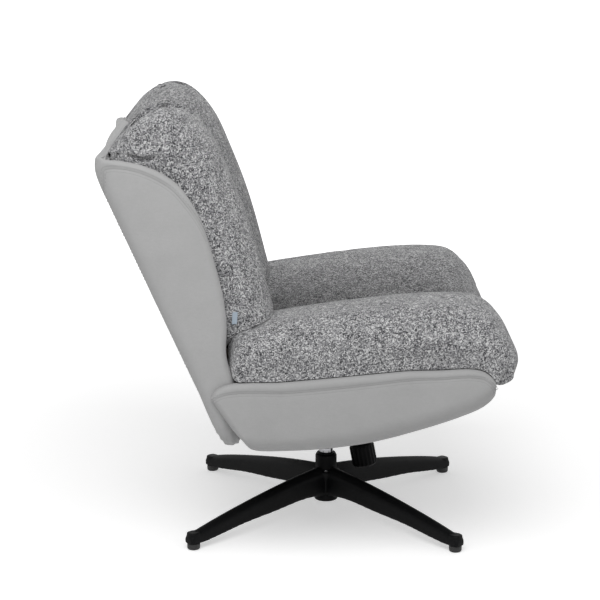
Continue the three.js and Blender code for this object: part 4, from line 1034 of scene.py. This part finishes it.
class ShellSizes(bpy.types.PropertyGroup):
    """Sizes of the two upholstered shells."""
    back_half: FloatProperty(name="Back half width", description="Half the width of the back shell",
                             default=0.331, unit="LENGTH")
    back_wall: FloatProperty(name="Back wall", description="Thickness of the back shell with its padding",
                             default=0.021, unit="LENGTH")
    back_corner: FloatProperty(name="Back corner", description="Radius between a wing and the rear panel",
                               default=0.025, unit="LENGTH")
    ear: FloatProperty(name="Ear", description="Radius of the ears seen from above",
                       default=0.032, unit="LENGTH")
    seat_ear: FloatProperty(name="Seat ear", description="Radius of the seat's front corners from above",
                            default=0.016, unit="LENGTH")
    seat_corner: FloatProperty(name="Seat corner", description="Radius between seat side and underside",
                               default=0.052, unit="LENGTH")
    seat_half: FloatProperty(name="Seat half width", description="Half the width of the seat shell",
                             default=0.356, unit="LENGTH")
    seat_wall: FloatProperty(name="Seat wall", description="Thickness of the seat shell with its padding",
                             default=0.021, unit="LENGTH")
    puff: FloatProperty(name="Puff", description="How far the leather swells between two seams",
                        default=0.0022, unit="LENGTH")
    stitch_spread: FloatProperty(name="Stitch spread", description="Distance between a seam's stitch rows",
                                 default=STITCH_SPREAD, unit="LENGTH")


class PadSizes(bpy.types.PropertyGroup):
    """Sizes of the seat pad and the back pad, and how they are blown up."""
    seat_half: FloatProperty(name="Seat pad half width", description="Half the width of the seat pad",
                             default=0.357, unit="LENGTH")
    back_half: FloatProperty(name="Back pad half width", description="Half the width of the back pad",
                             default=0.308, unit="LENGTH")
    voxel: FloatProperty(name="Face size", description="Size of a face before the last subdivision",
                         default=0.006, unit="LENGTH")
    pressure: FloatProperty(name="Pressure", description="Air pressure of the cloth simulation",
                            default=4.0)
    frames: IntProperty(name="Frames", description="Steps of the cloth simulation", default=20)
    cap: FloatProperty(name="Cap", description="The furthest that a point may move while it is blown up",
                       default=0.006, unit="LENGTH")
    draw_in: FloatProperty(name="Draw in", description="How much smaller a pad is before it is blown up",
                           default=0.003, unit="LENGTH")
    channel: FloatProperty(name="Channel", description="Depth of the sewn channel between the lobes",
                           default=0.011, unit="LENGTH")
    label_wide: FloatProperty(name="Label width", description="Width of the blank side label",
                              default=0.0095, unit="LENGTH")
    label_high: FloatProperty(name="Label height", description="Height of the blank side label",
                              default=0.022, unit="LENGTH")


class BaseSizes(bpy.types.PropertyGroup):
    """Sizes of the star base."""
    turn: FloatProperty(name="Turn", description="Turn of the base on the floor",
                        default=math.radians(-3.6), subtype="ANGLE")
    reach: FloatProperty(name="Reach", description="From the column's axis to the end of a leg",
                         default=0.3635, unit="LENGTH")
    root_width: FloatProperty(name="Root width", description="Width of a leg at the hub",
                              default=0.036, unit="LENGTH")
    tip_width: FloatProperty(name="Tip width", description="Width of a leg at its tip",
                             default=0.0245, unit="LENGTH")
    sleeve_radius: FloatProperty(name="Sleeve radius", description="Radius of the bright spindle sleeve",
                                 default=0.0142, unit="LENGTH")
    sleeve_low: FloatProperty(name="Sleeve foot", description="Height of the sleeve's lower end",
                              default=0.1188, unit="LENGTH")
    sleeve_high: FloatProperty(name="Sleeve top", description="Height of the sleeve's upper end",
                               default=0.1285, unit="LENGTH")


class Finishes(bpy.types.PropertyGroup):
    """Colours as shown on screen."""
    back_hide: FloatVectorProperty(name="Back leather", description="Leather of the back shell",
                                   default=(0.675, 0.675, 0.675), subtype="COLOR_GAMMA", min=0, max=1)
    seat_hide: FloatVectorProperty(name="Seat leather", description="Leather of the seat shell",
                                   default=(0.65, 0.65, 0.65), subtype="COLOR_GAMMA", min=0, max=1)
    tweed_dark: FloatVectorProperty(name="Tweed dark", description="Darkest yarn of the tweed",
                                    default=(0.2, 0.2, 0.21), subtype="COLOR_GAMMA", min=0, max=1)
    tweed_middle: FloatVectorProperty(name="Tweed middle", description="Middle yarn of the tweed",
                                      default=(0.52, 0.52, 0.53), subtype="COLOR_GAMMA", min=0, max=1)
    tweed_light: FloatVectorProperty(name="Tweed light", description="Lightest yarn of the tweed",
                                     default=(0.86, 0.86, 0.86), subtype="COLOR_GAMMA", min=0, max=1)
    label: FloatVectorProperty(name="Label", description="Ribbon of the blank side label",
                               default=(0.66, 0.71, 0.76), subtype="COLOR_GAMMA", min=0, max=1)
    coat: FloatVectorProperty(name="Black coat", description="Powder coat of the base",
                              default=(0.034, 0.036, 0.04), subtype="COLOR_GAMMA", min=0, max=1)


def sizes(context, group):
    """One of the scene's groups of sizes and colours."""
    return getattr(context.scene, f"recliner_{group}")


# Operators: one for each piece or group of like pieces

# Foot of the back shell, the height above it, how far it draws in there and its swell
BACK_FOOT, BACK_HEIGHT = 0.221, 0.541
FOOT_DRAWN_IN, BACK_SWELL = 0.034, 0.008


def back_half_width(height, half):
    """Half width of the back shell at a height: it draws in towards its foot and swells by a
    half sine over the height."""
    share = (height - BACK_FOOT) / BACK_HEIGHT
    foot = FOOT_DRAWN_IN * (1 - smooth_step(share, 0, 0.22))
    return half - foot + BACK_SWELL * np.sin(np.clip(share, 0, 1) * np.pi)


# The back shell's side seam as (way below the top of the rows, way past the heel), millimetres
SIDE_SEAM = ((43, -14), (51, -12), (65, -3), (80, 7), (110, 13), (200, 14), (380, 14), (520, 13))


class RECLINER_OT_back_shell(bpy.types.Operator):
    """Makes the leather back shell with its seams and stitches"""
    bl_idname = "recliner.back_shell"
    bl_label = "Back Shell"

    def execute(self, context):
        size = sizes(context, "shells")
        hide = hide_material("Back leather", sizes(context, "finishes").back_hide)
        (rim, heel, keel), run = shell_rows((BACK_RIM, BACK_HEEL, BACK_KEEL), count=92)
        half = back_half_width(rim[:, 1], size.back_half)
        half = drawn_in(half, run, size.ear)
        shell = Shell(rim, heel, keel, half, (size.back_corner, size.back_corner), columns=62)
        top = run[-1] / MM
        depth = np.linalg.norm(rim - heel, axis=1) / MM
        deep = lambda place: np.interp(place, run / MM, depth)
        seam_places = [
            (top - 270, 0), (top - 235, 5), (top - 190, 10),
            (top - 130, 14), (top - 85, 15.5), (top - 55, 18), (top - 42, 23), (top - 37, 30),
        ] + [
            (top - below, deep(top - below) + past)
            for below, past in SIDE_SEAM
        ]
        path, _ = on_shell(shell, shell.skin, run, seam_places)
        relief = lump_folds(shell.skin)
        piece, outer = close_shell(
            "leather_back_shell", shell, size.back_wall, both_sides(path), size.puff, relief
        )
        finish_piece(piece, "seat", hide, "grey_leather", "back_shell")
        sewn("back_shell_stitches", on_shell(shell, outer, run, seam_places), size.stitch_spread)
        return {"FINISHED"}


# The lump's front notch as (x, z), the height of its folds and their distance from the notch
LUMP_NOTCH = (axis_x - 0.172, 0.251)
FOLD_HEIGHT, FOLD_RING = 0.0014, 0.022


def lump_folds(skin):
    """Heights of the gathered folds on the lower lump of the back shell: waves that fan out from
    the lump's front notch, nothing at the notch itself and fading with the distance from it."""
    x, y, z = (skin[..., axis] for axis in range(3))
    right, up = x - LUMP_NOTCH[0], z - LUMP_NOTCH[1]
    away = np.hypot(right, up)
    side = smooth_step(abs(y), 0.2, 0.29)
    angle = np.arctan2(up, -right)
    waves = np.sin(angle * 19 + 14 * away) + 0.4 * np.sin(angle * 31 + 2)
    return FOLD_HEIGHT * bell(away - FOLD_RING, FOLD_RING) * waves * side


# Box that cuts the opening for the mechanism out of the seat shell: its two far corners
MECHANISM_HOLE = (np.array([axis_x - 0.136, -0.096, 0.15]), np.array([axis_x + 0.138, 0.096, 0.29]))


class RECLINER_OT_seat_shell(bpy.types.Operator):
    """Makes the leather seat shell with its seam, stitches and the opening for the mechanism"""
    bl_idname = "recliner.seat_shell"
    bl_label = "Seat Shell"

    def execute(self, context):
        size = sizes(context, "shells")
        hide = hide_material("Seat leather", sizes(context, "finishes").seat_hide)
        (rim, heel, keel), run = shell_rows((SEAT_RIM, SEAT_HEEL, SEAT_KEEL), count=84)
        half = drawn_in(np.full(len(rim), size.seat_half), run, size.seat_ear)
        shell = Shell(rim, heel, keel, half, (size.seat_corner * 0.8, size.seat_corner), columns=66)
        front = run[-1] / MM
        across = shell.from_rim[-1].max() / MM
        seam_places = [
            (2, 4), (18, 12), (55, 20), (110, 21.5), (230, 20), (330, 17), (front - 60, 15),
            (front - 28, 16), (front - 16, 24), (front - 13, 45), (front - 12, 120), (front - 12, across),
        ]
        path, _ = on_shell(shell, shell.skin, run, seam_places, steps=360)
        piece, outer = close_shell(
            "leather_seat_shell", shell, size.seat_wall, both_sides(path), size.puff, hole=MECHANISM_HOLE
        )
        finish_piece(piece, "seat", hide, "grey_leather", "seat_shell")
        stitched = on_shell(shell, outer, run, seam_places, steps=360)
        sewn("seat_shell_stitches", stitched, size.stitch_spread)
        return {"FINISHED"}


def thread_material():
    """Sewing thread a shade lighter than the leather, made once."""
    found = bpy.data.materials.get("Grey thread")
    return found or grained("Grey thread", grey(178), 2200.0, 0.12, 0.7, 0.05, 0.5, Sheen_Weight=0.2)


def seat_width(length):
    """Share of the seat pad's half width along its length: narrow behind, where it goes in
    between the wings, and drawn in a little between its ends."""
    back = 0.955 + 0.045 * smooth_step(length, 0.0, 0.03)
    return back * (1 - 0.012 * (1 - (2 * length - 1) ** 2))


def back_width(height):
    """Share of the back pad's half width over its height, drawn in a little between its ends."""
    return 1 - 0.014 * (1 - (2 * height - 1) ** 2)


def pad_channel(piece, depth, face_way):
    """Presses the sewn channel into a pad's face along its middle, deepest at a sharp line."""
    mesh = piece.data
    place, normal = coordinates(mesh), vertex_normals(mesh)
    face = smooth_step(facing(normal[:, [0, 2]], face_way), 0.05, 0.5)
    y = abs(place[:, 1])
    groove = depth * (0.55 * bell(y, 0.016) + 0.45 * bell(y, 0.005))
    puckers = 1 + 0.14 * np.sin(place[:, 0] * 170 + place[:, 2] * 190) * bell(y - 0.014, 0.012)
    press(piece, groove * face * puckers)


class RECLINER_OT_seat_pad(bpy.types.Operator):
    """Makes the tweed seat pad with two lobes, blown up by cloth simulation"""
    bl_idname = "recliner.seat_pad"
    bl_label = "Seat Pad"

    def execute(self, context):
        size = sizes(context, "pads")
        form = {
            "side": 0.066, "end": 0.42, "crest": 0.24, "valley": 0.07, "crown": 0.012,
            "face_power": 2.0, "under_power": 8.0, "face_low": 0.3, "width": seat_width, "width_along": 0,
        }
        face_way = (0.35, 1.0)
        grid = pad_surface(SEAT_PAD, SEAT_PAD_LINE, face_way, size.seat_half, form)
        piece = pad_mesh("tweed_seat_pad", grid, size.voxel)
        blow_up(piece, size, face_way)
        keep_above_rim(piece)
        keep_clear(piece, "leather_seat_shell", SHELL_GAP)
        keep_clear(piece, "leather_back_shell", SHELL_GAP)
        subdivided(piece)
        pad_channel(piece, size.channel, face_way)
        # Painted shade in the valley between the lobes, stronger behind than in front
        paint_valley_shade(piece, form["crest"], power=1.2, behind=0.9, before=0.5)
        finish_piece(piece, "seat", tweed(context), "grey_tweed", "seat_cushion")
        return {"FINISHED"}


BACK_CREASE = [(-378, 760), (-360, 756), (-342, 752), (-322, 755), (-306, 762)]


def fold_sides(piece, line, depth, width):
    """Presses a side-view line into both sides of a pad as a fold: a valley with a low bulge above
    it, fading out towards the ends of the line and towards the pad's middle."""
    place = coordinates(piece.data)
    outer = smooth_step(abs(place[:, 1]), 0.17, 0.23)
    path = smooth_path(side_view(line))
    gap, run = distance_to(place[:, [0, 2]], path)
    above = place[:, 2] - np.interp(run, lengths_of(path), path[:, 1])
    share = np.sin(np.clip(run / lengths_of(path)[-1], 0, 1) * np.pi)
    amount = share * (bell(gap, width) - 0.45 * bell(gap - 2.2 * width, 1.6 * width) * (above > 0))
    press(piece, depth * amount * outer)


def paint_valley_shade(piece, crest, power, behind, before):
    """Keeps painted shade for the valley between a pad's lobes: how much darker its colour is drawn towards the
    channel, the share of the way from crest to channel to a power, times a strength that changes evenly from the
    pad's rear to its front."""
    place = coordinates(piece.data)
    share = np.clip(1 - abs(place[:, 1]) / crest, 0, 1) ** power
    length = (place[:, 0] - place[:, 0].min()) / np.ptp(place[:, 0])
    store(piece.data, "hollow", share * (behind + (before - behind) * length))


def tweed(context):
    """The tweed of both pads, made once."""
    return bpy.data.materials.get("Grey tweed") or tweed_material(sizes(context, "finishes"))


def blow_up(piece, size, face_way):
    """Draws the pad in, then lets it swell on its face and hardly underneath. Without the
    simulation it keeps the drawn shape."""
    normal = vertex_normals(piece.data)
    face = facing(normal[:, [0, 2]], face_way)
    freedom = 0.12 + 0.88 * smooth_step(face, -0.75, 0.1)
    freedom *= 1 - 0.75 * bell(coordinates(piece.data)[:, 1], 0.05)
    press(piece, size.draw_in * freedom)
    rise = swell(piece, size.pressure, size.frames, size.cap, freedom)
    missing = size.draw_in - rise[face > 0.5].mean()
    press(piece, -missing * freedom)


def keep_above_rim(piece):
    """Outside the inner face of the seat shell's wall, lifts the pad's points above the rim."""
    rim = smooth_path(side_view(SEAT_RIM))
    order = np.argsort(rim[:, 0])
    place = coordinates(piece.data)
    top = np.interp(place[:, 0], rim[order, 0], rim[order, 1]) + 0.0015
    outside = smooth_step(abs(place[:, 1]), 0.322, 0.334)
    lowest = np.where(place[:, 2] < top, top, place[:, 2])
    place[:, 2] += (lowest - place[:, 2]) * outside
    place_vertices(piece.data, place)


class RECLINER_OT_back_pad(bpy.types.Operator):
    """Makes the tweed back pad with two lobes, blown up by cloth simulation"""
    bl_idname = "recliner.back_pad"
    bl_label = "Back Pad"

    def execute(self, context):
        size = sizes(context, "pads")
        form = {
            "side": 0.085, "end": 0.36, "crest": 0.205, "valley": 0.082, "crown": 0.0,
            "face_power": 2.4, "under_power": 3.0, "face_low": -0.65, "width": back_width, "width_along": 1,
        }
        face_way = (0.8, 0.55)
        grid = pad_surface(BACK_PAD, BACK_PAD_LINE, face_way, size.back_half, form)
        piece = pad_mesh("tweed_back_pad", grid, size.voxel)
        blow_up(piece, size, face_way)
        keep_clear(piece, "leather_back_shell", SHELL_GAP)
        keep_clear(piece, "tweed_seat_pad", PAD_GAP)
        subdivided(piece)
        pad_channel(piece, size.channel, face_way)
        fold_sides(piece, BACK_CREASE, depth=0.006, width=0.0045)
        # Painted shade in the valley between the lobes, a little stronger in front than behind
        paint_valley_shade(piece, form["crest"], power=2.2, behind=0.45, before=0.6)
        finish_piece(piece, "seat", tweed(context), "grey_tweed", "back_cushion")
        return {"FINISHED"}


class RECLINER_OT_star_base(bpy.types.Operator):
    """Makes the cast star base: four legs, their feet and the hub"""
    bl_idname = "recliner.star_base"
    bl_label = "Star Base"

    def execute(self, context):
        size = sizes(context, "base")
        points, faces, first = [], [], 0
        leg = leg_rings(size.reach, size.root_width, size.tip_width)
        foot = capped_foot(size.tip_width)
        shift = np.array([axis_x, 0, 0])
        for glide in range(1, 5):
            low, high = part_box(f"foot_glide_{glide}")
            middle = (np.array(low) + np.array(high)) / 2 - shift
            angle = math.atan2(middle[1], middle[0])
            for grid in (leg, foot):
                placed = turned_about(grid.reshape(-1, 3), angle)
                points.append(placed + shift)
                faces += capped(grid, first)
                first += len(placed)
        hub = turned(hub_profile(), 64)
        points.append(hub.reshape(-1, 3) + shift)
        faces += grid_faces(len(hub), 64, around=True, first=first).tolist()
        piece = mesh_object("cast_star_base", np.concatenate(points), faces)
        remesh = piece.modifiers.new("Cast", "REMESH")
        remesh.mode = "VOXEL"
        remesh.voxel_size = 0.0019
        soften = piece.modifiers.new("Soften", "SMOOTH")
        soften.factor, soften.iterations = 0.5, 5
        apply_modifiers(piece)
        tone = linear(sizes(context, "finishes").coat)
        coat = grained("Powder coat", tone, 1100.0, 0.07, 0.5, 0.05, 0.25, Specular_IOR_Level=0.1)
        finish_piece(piece, "base", coat, "black_metal", "star_base")
        return {"FINISHED"}


def capped_foot(width):
    """Rings of the upright foot under a leg's tip, from its mitred top down to the glide."""
    low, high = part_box("foot_glide_1")
    centre = math.hypot((low[0] + high[0]) / 2 - axis_x, (low[1] + high[1]) / 2)
    angle = np.arange(32) * (2 * np.pi / 32)
    height = np.array([0.0335, 0.032, 0.026, 0.018, 0.0128, 0.0122])
    radius = width / 2 * np.array([0.9, 1.0, 1.02, 1.02, 1.02, 0.97])
    square = np.array([2.6, 2.6, 2.4, 2.2, 2.0, 2.0])[:, None]
    shape = (abs(np.cos(angle)) ** square + abs(np.sin(angle)) ** square) ** (-1 / square)
    return np.stack([
        centre + radius[:, None] * shape * np.cos(angle), radius[:, None] * shape * np.sin(angle),
        np.broadcast_to(height[:, None], shape.shape),
    ], axis=-1)


def hub_profile():
    """Half section of the hub, (radius, height), as a closed loop round its bore."""
    bore = 0.0207
    corners = [
        (bore, 0.083), (0.0255, 0.083), (0.027, 0.0805), (0.027, 0.066), (0.0225, 0.05), (0.021, 0.036),
        (0.0235, 0.03), (0.0245, 0.024), (0.0225, 0.0205), (0.014, 0.0185), (bore * 0.4, 0.0185),
        (bore * 0.4, 0.026), (bore, 0.03),
    ]
    profile = rounded(corners, 0.0012)
    return np.concatenate([profile, profile[:1]])


class RECLINER_OT_column(bpy.types.Operator):
    """Makes the collar of the column and its ring"""
    bl_idname = "recliner.column"
    bl_label = "Column Collar"

    def execute(self, context):
        plastic = grained(
            "Moulded black", grey(4, 1), 700.0, 0.08, 0.5, 0.06, 0.2, Specular_IOR_Level=PLASTIC_SHINE
        )
        low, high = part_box("collar_cap")
        radius, top = (high[0] - low[0]) / 2, high[2]
        corners = [
            (radius - 0.0018, low[2]), (radius - 0.0004, low[2] + 0.0012), (radius, low[2] + 0.004),
            (radius, top - 0.004), (radius - 0.0012, top - 0.0006), (radius - 0.003, top),
            (0.0164, top), (0.0158, top - 0.0012), (0.0158, top - 0.0025), (0.0155, 0.1124),
            (0.0197, 0.1122), (0.0197, low[2]),
        ]
        piece = turned_object("column_collar", corners, 0.0006, (axis_x, 0, 0), 80)
        finish_piece(piece, "base", plastic, "black_plastic", "collar_cap")
        low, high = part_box("collar_ring")
        outer, inner = (high[0] - low[0]) / 2, 0.0108
        corners = [(inner, low[2]), (inner, high[2]), (outer, high[2]), (outer, low[2])]
        piece = turned_object("collar_sealing_ring", corners, 0.0005, (axis_x, 0, 0), 80)
        finish_piece(piece, "base", plastic, "black_plastic", "collar_ring")
        return {"FINISHED"}


class RECLINER_OT_sleeve(bpy.types.Operator):
    """Makes the bright sleeve round the foot of the turning spindle"""
    bl_idname = "recliner.sleeve"
    bl_label = "Spindle Sleeve"

    def execute(self, context):
        size = sizes(context, "base")
        low, high = size.sleeve_low, size.sleeve_high
        inner, outer = size.sleeve_radius - 0.0008, size.sleeve_radius
        corners = [(inner, low), (outer, low), (outer, high), (inner, high)]
        piece = turned_object("spindle_sleeve", corners, 0.0003, (axis_x, 0, 0), 72)
        nickel = grained("Dark chrome", grey(150, 3), 1500.0, 0.03, 0.16, 0.04, 0.03, metal=1.0)
        finish_piece(piece, "mechanism", nickel, "chrome")
        return {"FINISHED"}


# The label's middle as (x, z), and the thickness of its ribbon
LABEL_PLACE = (axis_x - 0.1815, 0.4645)
LABEL_THICK = 0.0009


class RECLINER_OT_side_label(bpy.types.Operator):
    """Makes the small blank label sewn to the side of the back pad"""
    bl_idname = "recliner.side_label"
    bl_label = "Side Label"

    def execute(self, context):
        size = sizes(context, "pads")
        place = coordinates(bpy.data.objects["tweed_back_pad"].data)
        near = np.hypot(place[:, 0] - LABEL_PLACE[0], place[:, 2] - LABEL_PLACE[1]) < 0.012
        face = place[near & (place[:, 1] < 0), 1].min()
        rows = np.linspace(-0.5, 0.5, 25)
        columns = np.linspace(-0.5, 0.5, 13)
        lean = 0.0016 * rows[:, None] + 0 * columns
        x = LABEL_PLACE[0] + size.label_wide * columns[None] + lean
        z = LABEL_PLACE[1] + size.label_high * rows[:, None] + 0.0012 * columns[None]
        y = face - 0.0012 - 0.0012 * (columns[None] + 0.5) ** 2 + 0 * rows[:, None]
        front = np.stack([x, y, z], axis=-1)
        back = front + np.array([0, LABEL_THICK, 0])
        closed = np.concatenate([front, back[:, ::-1]], axis=1)
        piece = mesh_object("side_label", closed, capped(closed))
        tone = linear(sizes(context, "finishes").label)
        cloth = grained("Label ribbon", tone, 1600.0, 0.05, 0.7, 0.05, 0.3)
        finish_piece(piece, "seat", cloth, "grey_tweed")
        return {"FINISHED"}


class RECLINER_OT_foot_glides(bpy.types.Operator):
    """Makes the four round glides under the legs"""
    bl_idname = "recliner.foot_glides"
    bl_label = "Foot Glides"

    def execute(self, context):
        plastic = grained("Glide plastic", grey(26), 600.0, 0.08, 0.55, 0.06, 0.2)
        for glide in range(1, 5):
            low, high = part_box(f"foot_glide_{glide}")
            centre = ((low[0] + high[0]) / 2, (low[1] + high[1]) / 2, 0)
            radius = (high[0] - low[0]) / 2
            foot, top = low[2], 0.0119
            corners = [
                (0, foot), (radius - 0.0028, foot), (radius - 0.0006, foot + 0.0016),
                (radius, foot + 0.0046), (radius, top - 0.0006), (radius - 0.0008, top), (0, top),
            ]
            piece = turned_object(f"round_glide_{glide}", corners, 0.0008, centre, 56, closed=False)
            finish_piece(piece, "base", plastic, "black_plastic", f"foot_glide_{glide}")
        return {"FINISHED"}


def register_list():
    """All classes of the add-on in the order in which they are registered."""
    return (
        ShellSizes, PadSizes, BaseSizes, Finishes, RECLINER_OT_stage, RECLINER_OT_back_shell,
        RECLINER_OT_seat_shell, RECLINER_OT_seat_pad, RECLINER_OT_back_pad, RECLINER_OT_star_base,
        RECLINER_OT_column, RECLINER_OT_sleeve, RECLINER_OT_side_label, RECLINER_OT_foot_glides,
        RECLINER_OT_frame_finishes, RECLINER_PT_panel,
    )


STEEL_SHINE, PLASTIC_SHINE = 0.14, 0.07

# Finishes of the CAD nodes that stay in view: name, tone, grain size, depth, roughness and its
# spread, bump, then the shader's other sockets
CAD_FINISHES = {
    "beech": ("Beech", linear((0.78, 0.64, 0.46)), 300.0, 0.12, 0.6, 0.06, 0.4, {}),
    "black_metal": ("Black steel", grey(8, 1), 800.0, 0.08, 0.45, 0.06, 0.25,
                    {"Specular_IOR_Level": STEEL_SHINE}),
    "chrome": ("Chrome", grey(225, 2), 1500.0, 0.02, 0.09, 0.03, 0.02, {"metal": 1.0}),
    "black_plastic": ("Black plastic", grey(4, 1), 700.0, 0.08, 0.5, 0.06, 0.25,
                      {"Specular_IOR_Level": PLASTIC_SHINE}),
    "nylon": ("Nylon", grey(205, -6), 700.0, 0.04, 0.5, 0.06, 0.15, {}),
    "stop_rubber": ("Stop rubber", grey(28), 500.0, 0.12, 0.85, 0.05, 0.4, {}),
    "elastic_webbing": ("Webbing", grey(46), 1200.0, 0.3, 0.9, 0.05, 0.8, {}),
    "spring_steel": ("Spring steel", grey(92, 2), 1200.0, 0.1, 0.35, 0.08, 0.15, {"metal": 1.0}),
    "zinc_steel": ("Zinc", grey(168, 3), 900.0, 0.08, 0.34, 0.08, 0.15, {"metal": 1.0}),
}


class RECLINER_OT_frame_finishes(bpy.types.Operator):
    """Gives the CAD nodes that stay in view their finishes"""
    bl_idname = "recliner.frame_finishes"
    bl_label = "Frame Finishes"

    def execute(self, context):
        slots = {part["node"]: part["material_slot"] for part in frame["record"]["subparts"]}
        made = {slot: grained(*values, **others) for slot, (*values, others) in CAD_FINISHES.items()}
        for name, node in frame["nodes"].items():
            if slots[name] not in made:
                continue
            node.data.materials.clear()
            node.data.materials.append(made[slots[name]])
        return {"FINISHED"}


# Camera: lens and sensor in millimetres, place, and how far it looks down and to the right in
# degrees. Lamps: name, place, width and power.
CAMERA_LENS, CAMERA_SENSOR = 108.764, 36
CAMERA_PLACE = (axis_x - 0.180, -3.498, 1.1854)
CAMERA_DOWN, CAMERA_TURN = 12.163, 2.088
FLOOR_HALF = 30
LAMP_TARGET = (0, 0, 0.4)
LAMPS = (("Key", (-0.4, -2.6, 3.4), 2.6, 88), ("Fill", (3.2, -2.0, 2.0), 3.0, 4))
SKY_LIGHT = 0.46
# The floor's own light: strength near the chair and far out, and where it changes
GLOW_LOW, GLOW_HIGH = 0.44, 1.0
GLOW_START, GLOW_END = 0.6, 3.2


class RECLINER_OT_stage(bpy.types.Operator):
    """Sets up the camera, the floor, the lamps and the world"""
    bl_idname = "recliner.stage"
    bl_label = "Stage"

    def execute(self, context):
        scene = context.scene
        scene.view_settings.view_transform = "Standard"
        lens = bpy.data.cameras.new("Camera")
        lens.lens, lens.sensor_width = CAMERA_LENS, CAMERA_SENSOR
        camera = bpy.data.objects.new("Camera", lens)
        camera.location = CAMERA_PLACE
        camera.rotation_euler = (math.radians(90 - CAMERA_DOWN), 0, math.radians(-CAMERA_TURN))
        scene.collection.objects.link(camera)
        scene.camera = camera
        corners = FLOOR_HALF * np.array([(-1, -1, 0), (1, -1, 0), (1, 1, 0), (-1, 1, 0)])
        floor = mesh_object("Floor", corners, [(0, 1, 2, 3)], smooth=False)
        floor.data.materials.append(floor_material())
        floor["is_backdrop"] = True
        scene.world = studio_world()
        for name, place, width, power in LAMPS:
            soft_lamp(scene, name, place, LAMP_TARGET, width, power)
        return {"FINISHED"}


def soft_lamp(scene, name, place, target, width, power):
    """A square lamp that looks at a target."""
    light = bpy.data.lights.new(name, "AREA")
    light.size, light.energy = width, power
    lamp = bpy.data.objects.new(name, light)
    lamp.location = place
    way = np.array(target) - np.array(place)
    lean = math.atan2(math.hypot(way[0], way[1]), -way[2])
    lamp.rotation_euler = (lean, 0, math.atan2(way[0], -way[1]) + math.pi)
    scene.collection.objects.link(lamp)


def seen_rays(make):
    """1 for rays from the camera and for mirror and see-through rays, else 0."""
    path = make.add("LightPath")
    seen = make.math("MAXIMUM", path.outputs["Is Camera Ray"], path.outputs["Is Glossy Ray"])
    return make.math("MAXIMUM", seen, path.outputs["Is Transmission Ray"])


def studio_world():
    """A pale even sky that is white where it is seen and softer where it lights."""
    world = bpy.data.worlds.new("Studio")
    world.use_nodes = True
    make = Nodes(world.node_tree)
    sky = world.node_tree.nodes["Background"]
    sky.inputs["Color"].default_value = (1, 1, 1, 1)
    make.feed(sky.inputs["Strength"], make.steps(seen_rays(make), 0.0, 1.0, SKY_LIGHT, 1.0))
    return world


def floor_material():
    """A pale matt floor that adds white where it is seen, so that only the shadow shows."""
    material = bpy.data.materials.new("Pale floor")
    material.use_nodes = True
    make = Nodes(material.node_tree)
    shader = material.node_tree.nodes["Principled BSDF"]
    shader.inputs["Base Color"].default_value = (0.8, 0.8, 0.8, 1)
    shader.inputs["Roughness"].default_value = 0.9
    shader.inputs["Specular IOR Level"].default_value = 0.0
    shader.inputs["Emission Color"].default_value = (1, 1, 1, 1)
    spread = make.add("VectorMath", {"operation": "LENGTH"}, Vector=make.add("TexCoord").outputs["Object"])
    glow = make.steps(spread.outputs["Value"], GLOW_START, GLOW_END, GLOW_LOW, GLOW_HIGH, smooth=True)
    make.feed(shader.inputs["Emission Strength"], make.math("MULTIPLY", seen_rays(make), glow))
    return material


class RECLINER_PT_panel(bpy.types.Panel):
    """Lists the recliner's operators, sizes and colours in the sidebar"""
    bl_idname = "RECLINER_PT_panel"
    bl_label = "Recliner"
    bl_space_type = "VIEW_3D"
    bl_region_type = "UI"
    bl_category = "Recliner"

    def draw(self, context):
        for group in ("shells", "pads", "base", "finishes"):
            settings = sizes(context, group)
            box = self.layout.box()
            for name in settings.bl_rna.properties.keys():
                if name not in ("name", "rna_type"):
                    box.prop(settings, name)
        for step in STEPS:
            self.layout.operator(f"recliner.{step}")


STEPS = (
    "stage", "back_shell", "seat_shell", "seat_pad", "back_pad", "side_label", "star_base", "column",
    "sleeve", "foot_glides", "frame_finishes",
)
GROUPS = {"shells": ShellSizes, "pads": PadSizes, "base": BaseSizes, "finishes": Finishes}


def register():
    """Registers the add-on's classes and gives each scene its groups of sizes and colours."""
    for made in register_list():
        bpy.utils.register_class(made)
    for name, group in GROUPS.items():
        setattr(bpy.types.Scene, f"recliner_{name}", PointerProperty(type=group))


def unregister():
    """Takes back what register did."""
    for name in GROUPS:
        delattr(bpy.types.Scene, f"recliner_{name}")
    for made in reversed(register_list()):
        bpy.utils.unregister_class(made)


def write_sizes():
    """Lists the CAD model's box and the dressed model's box side by side; the list is not kept or written out."""
    boxes = {"cad": cad_box, "visual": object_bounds()}
    boxes = {label: [list(corner) for corner in box] for label, box in boxes.items()}


def main():
    """Builds the whole chair by its operators."""
    register()
    for step in STEPS:
        getattr(bpy.ops.recliner, step)()
    write_sizes()


if __name__ == "__main__":
    main()
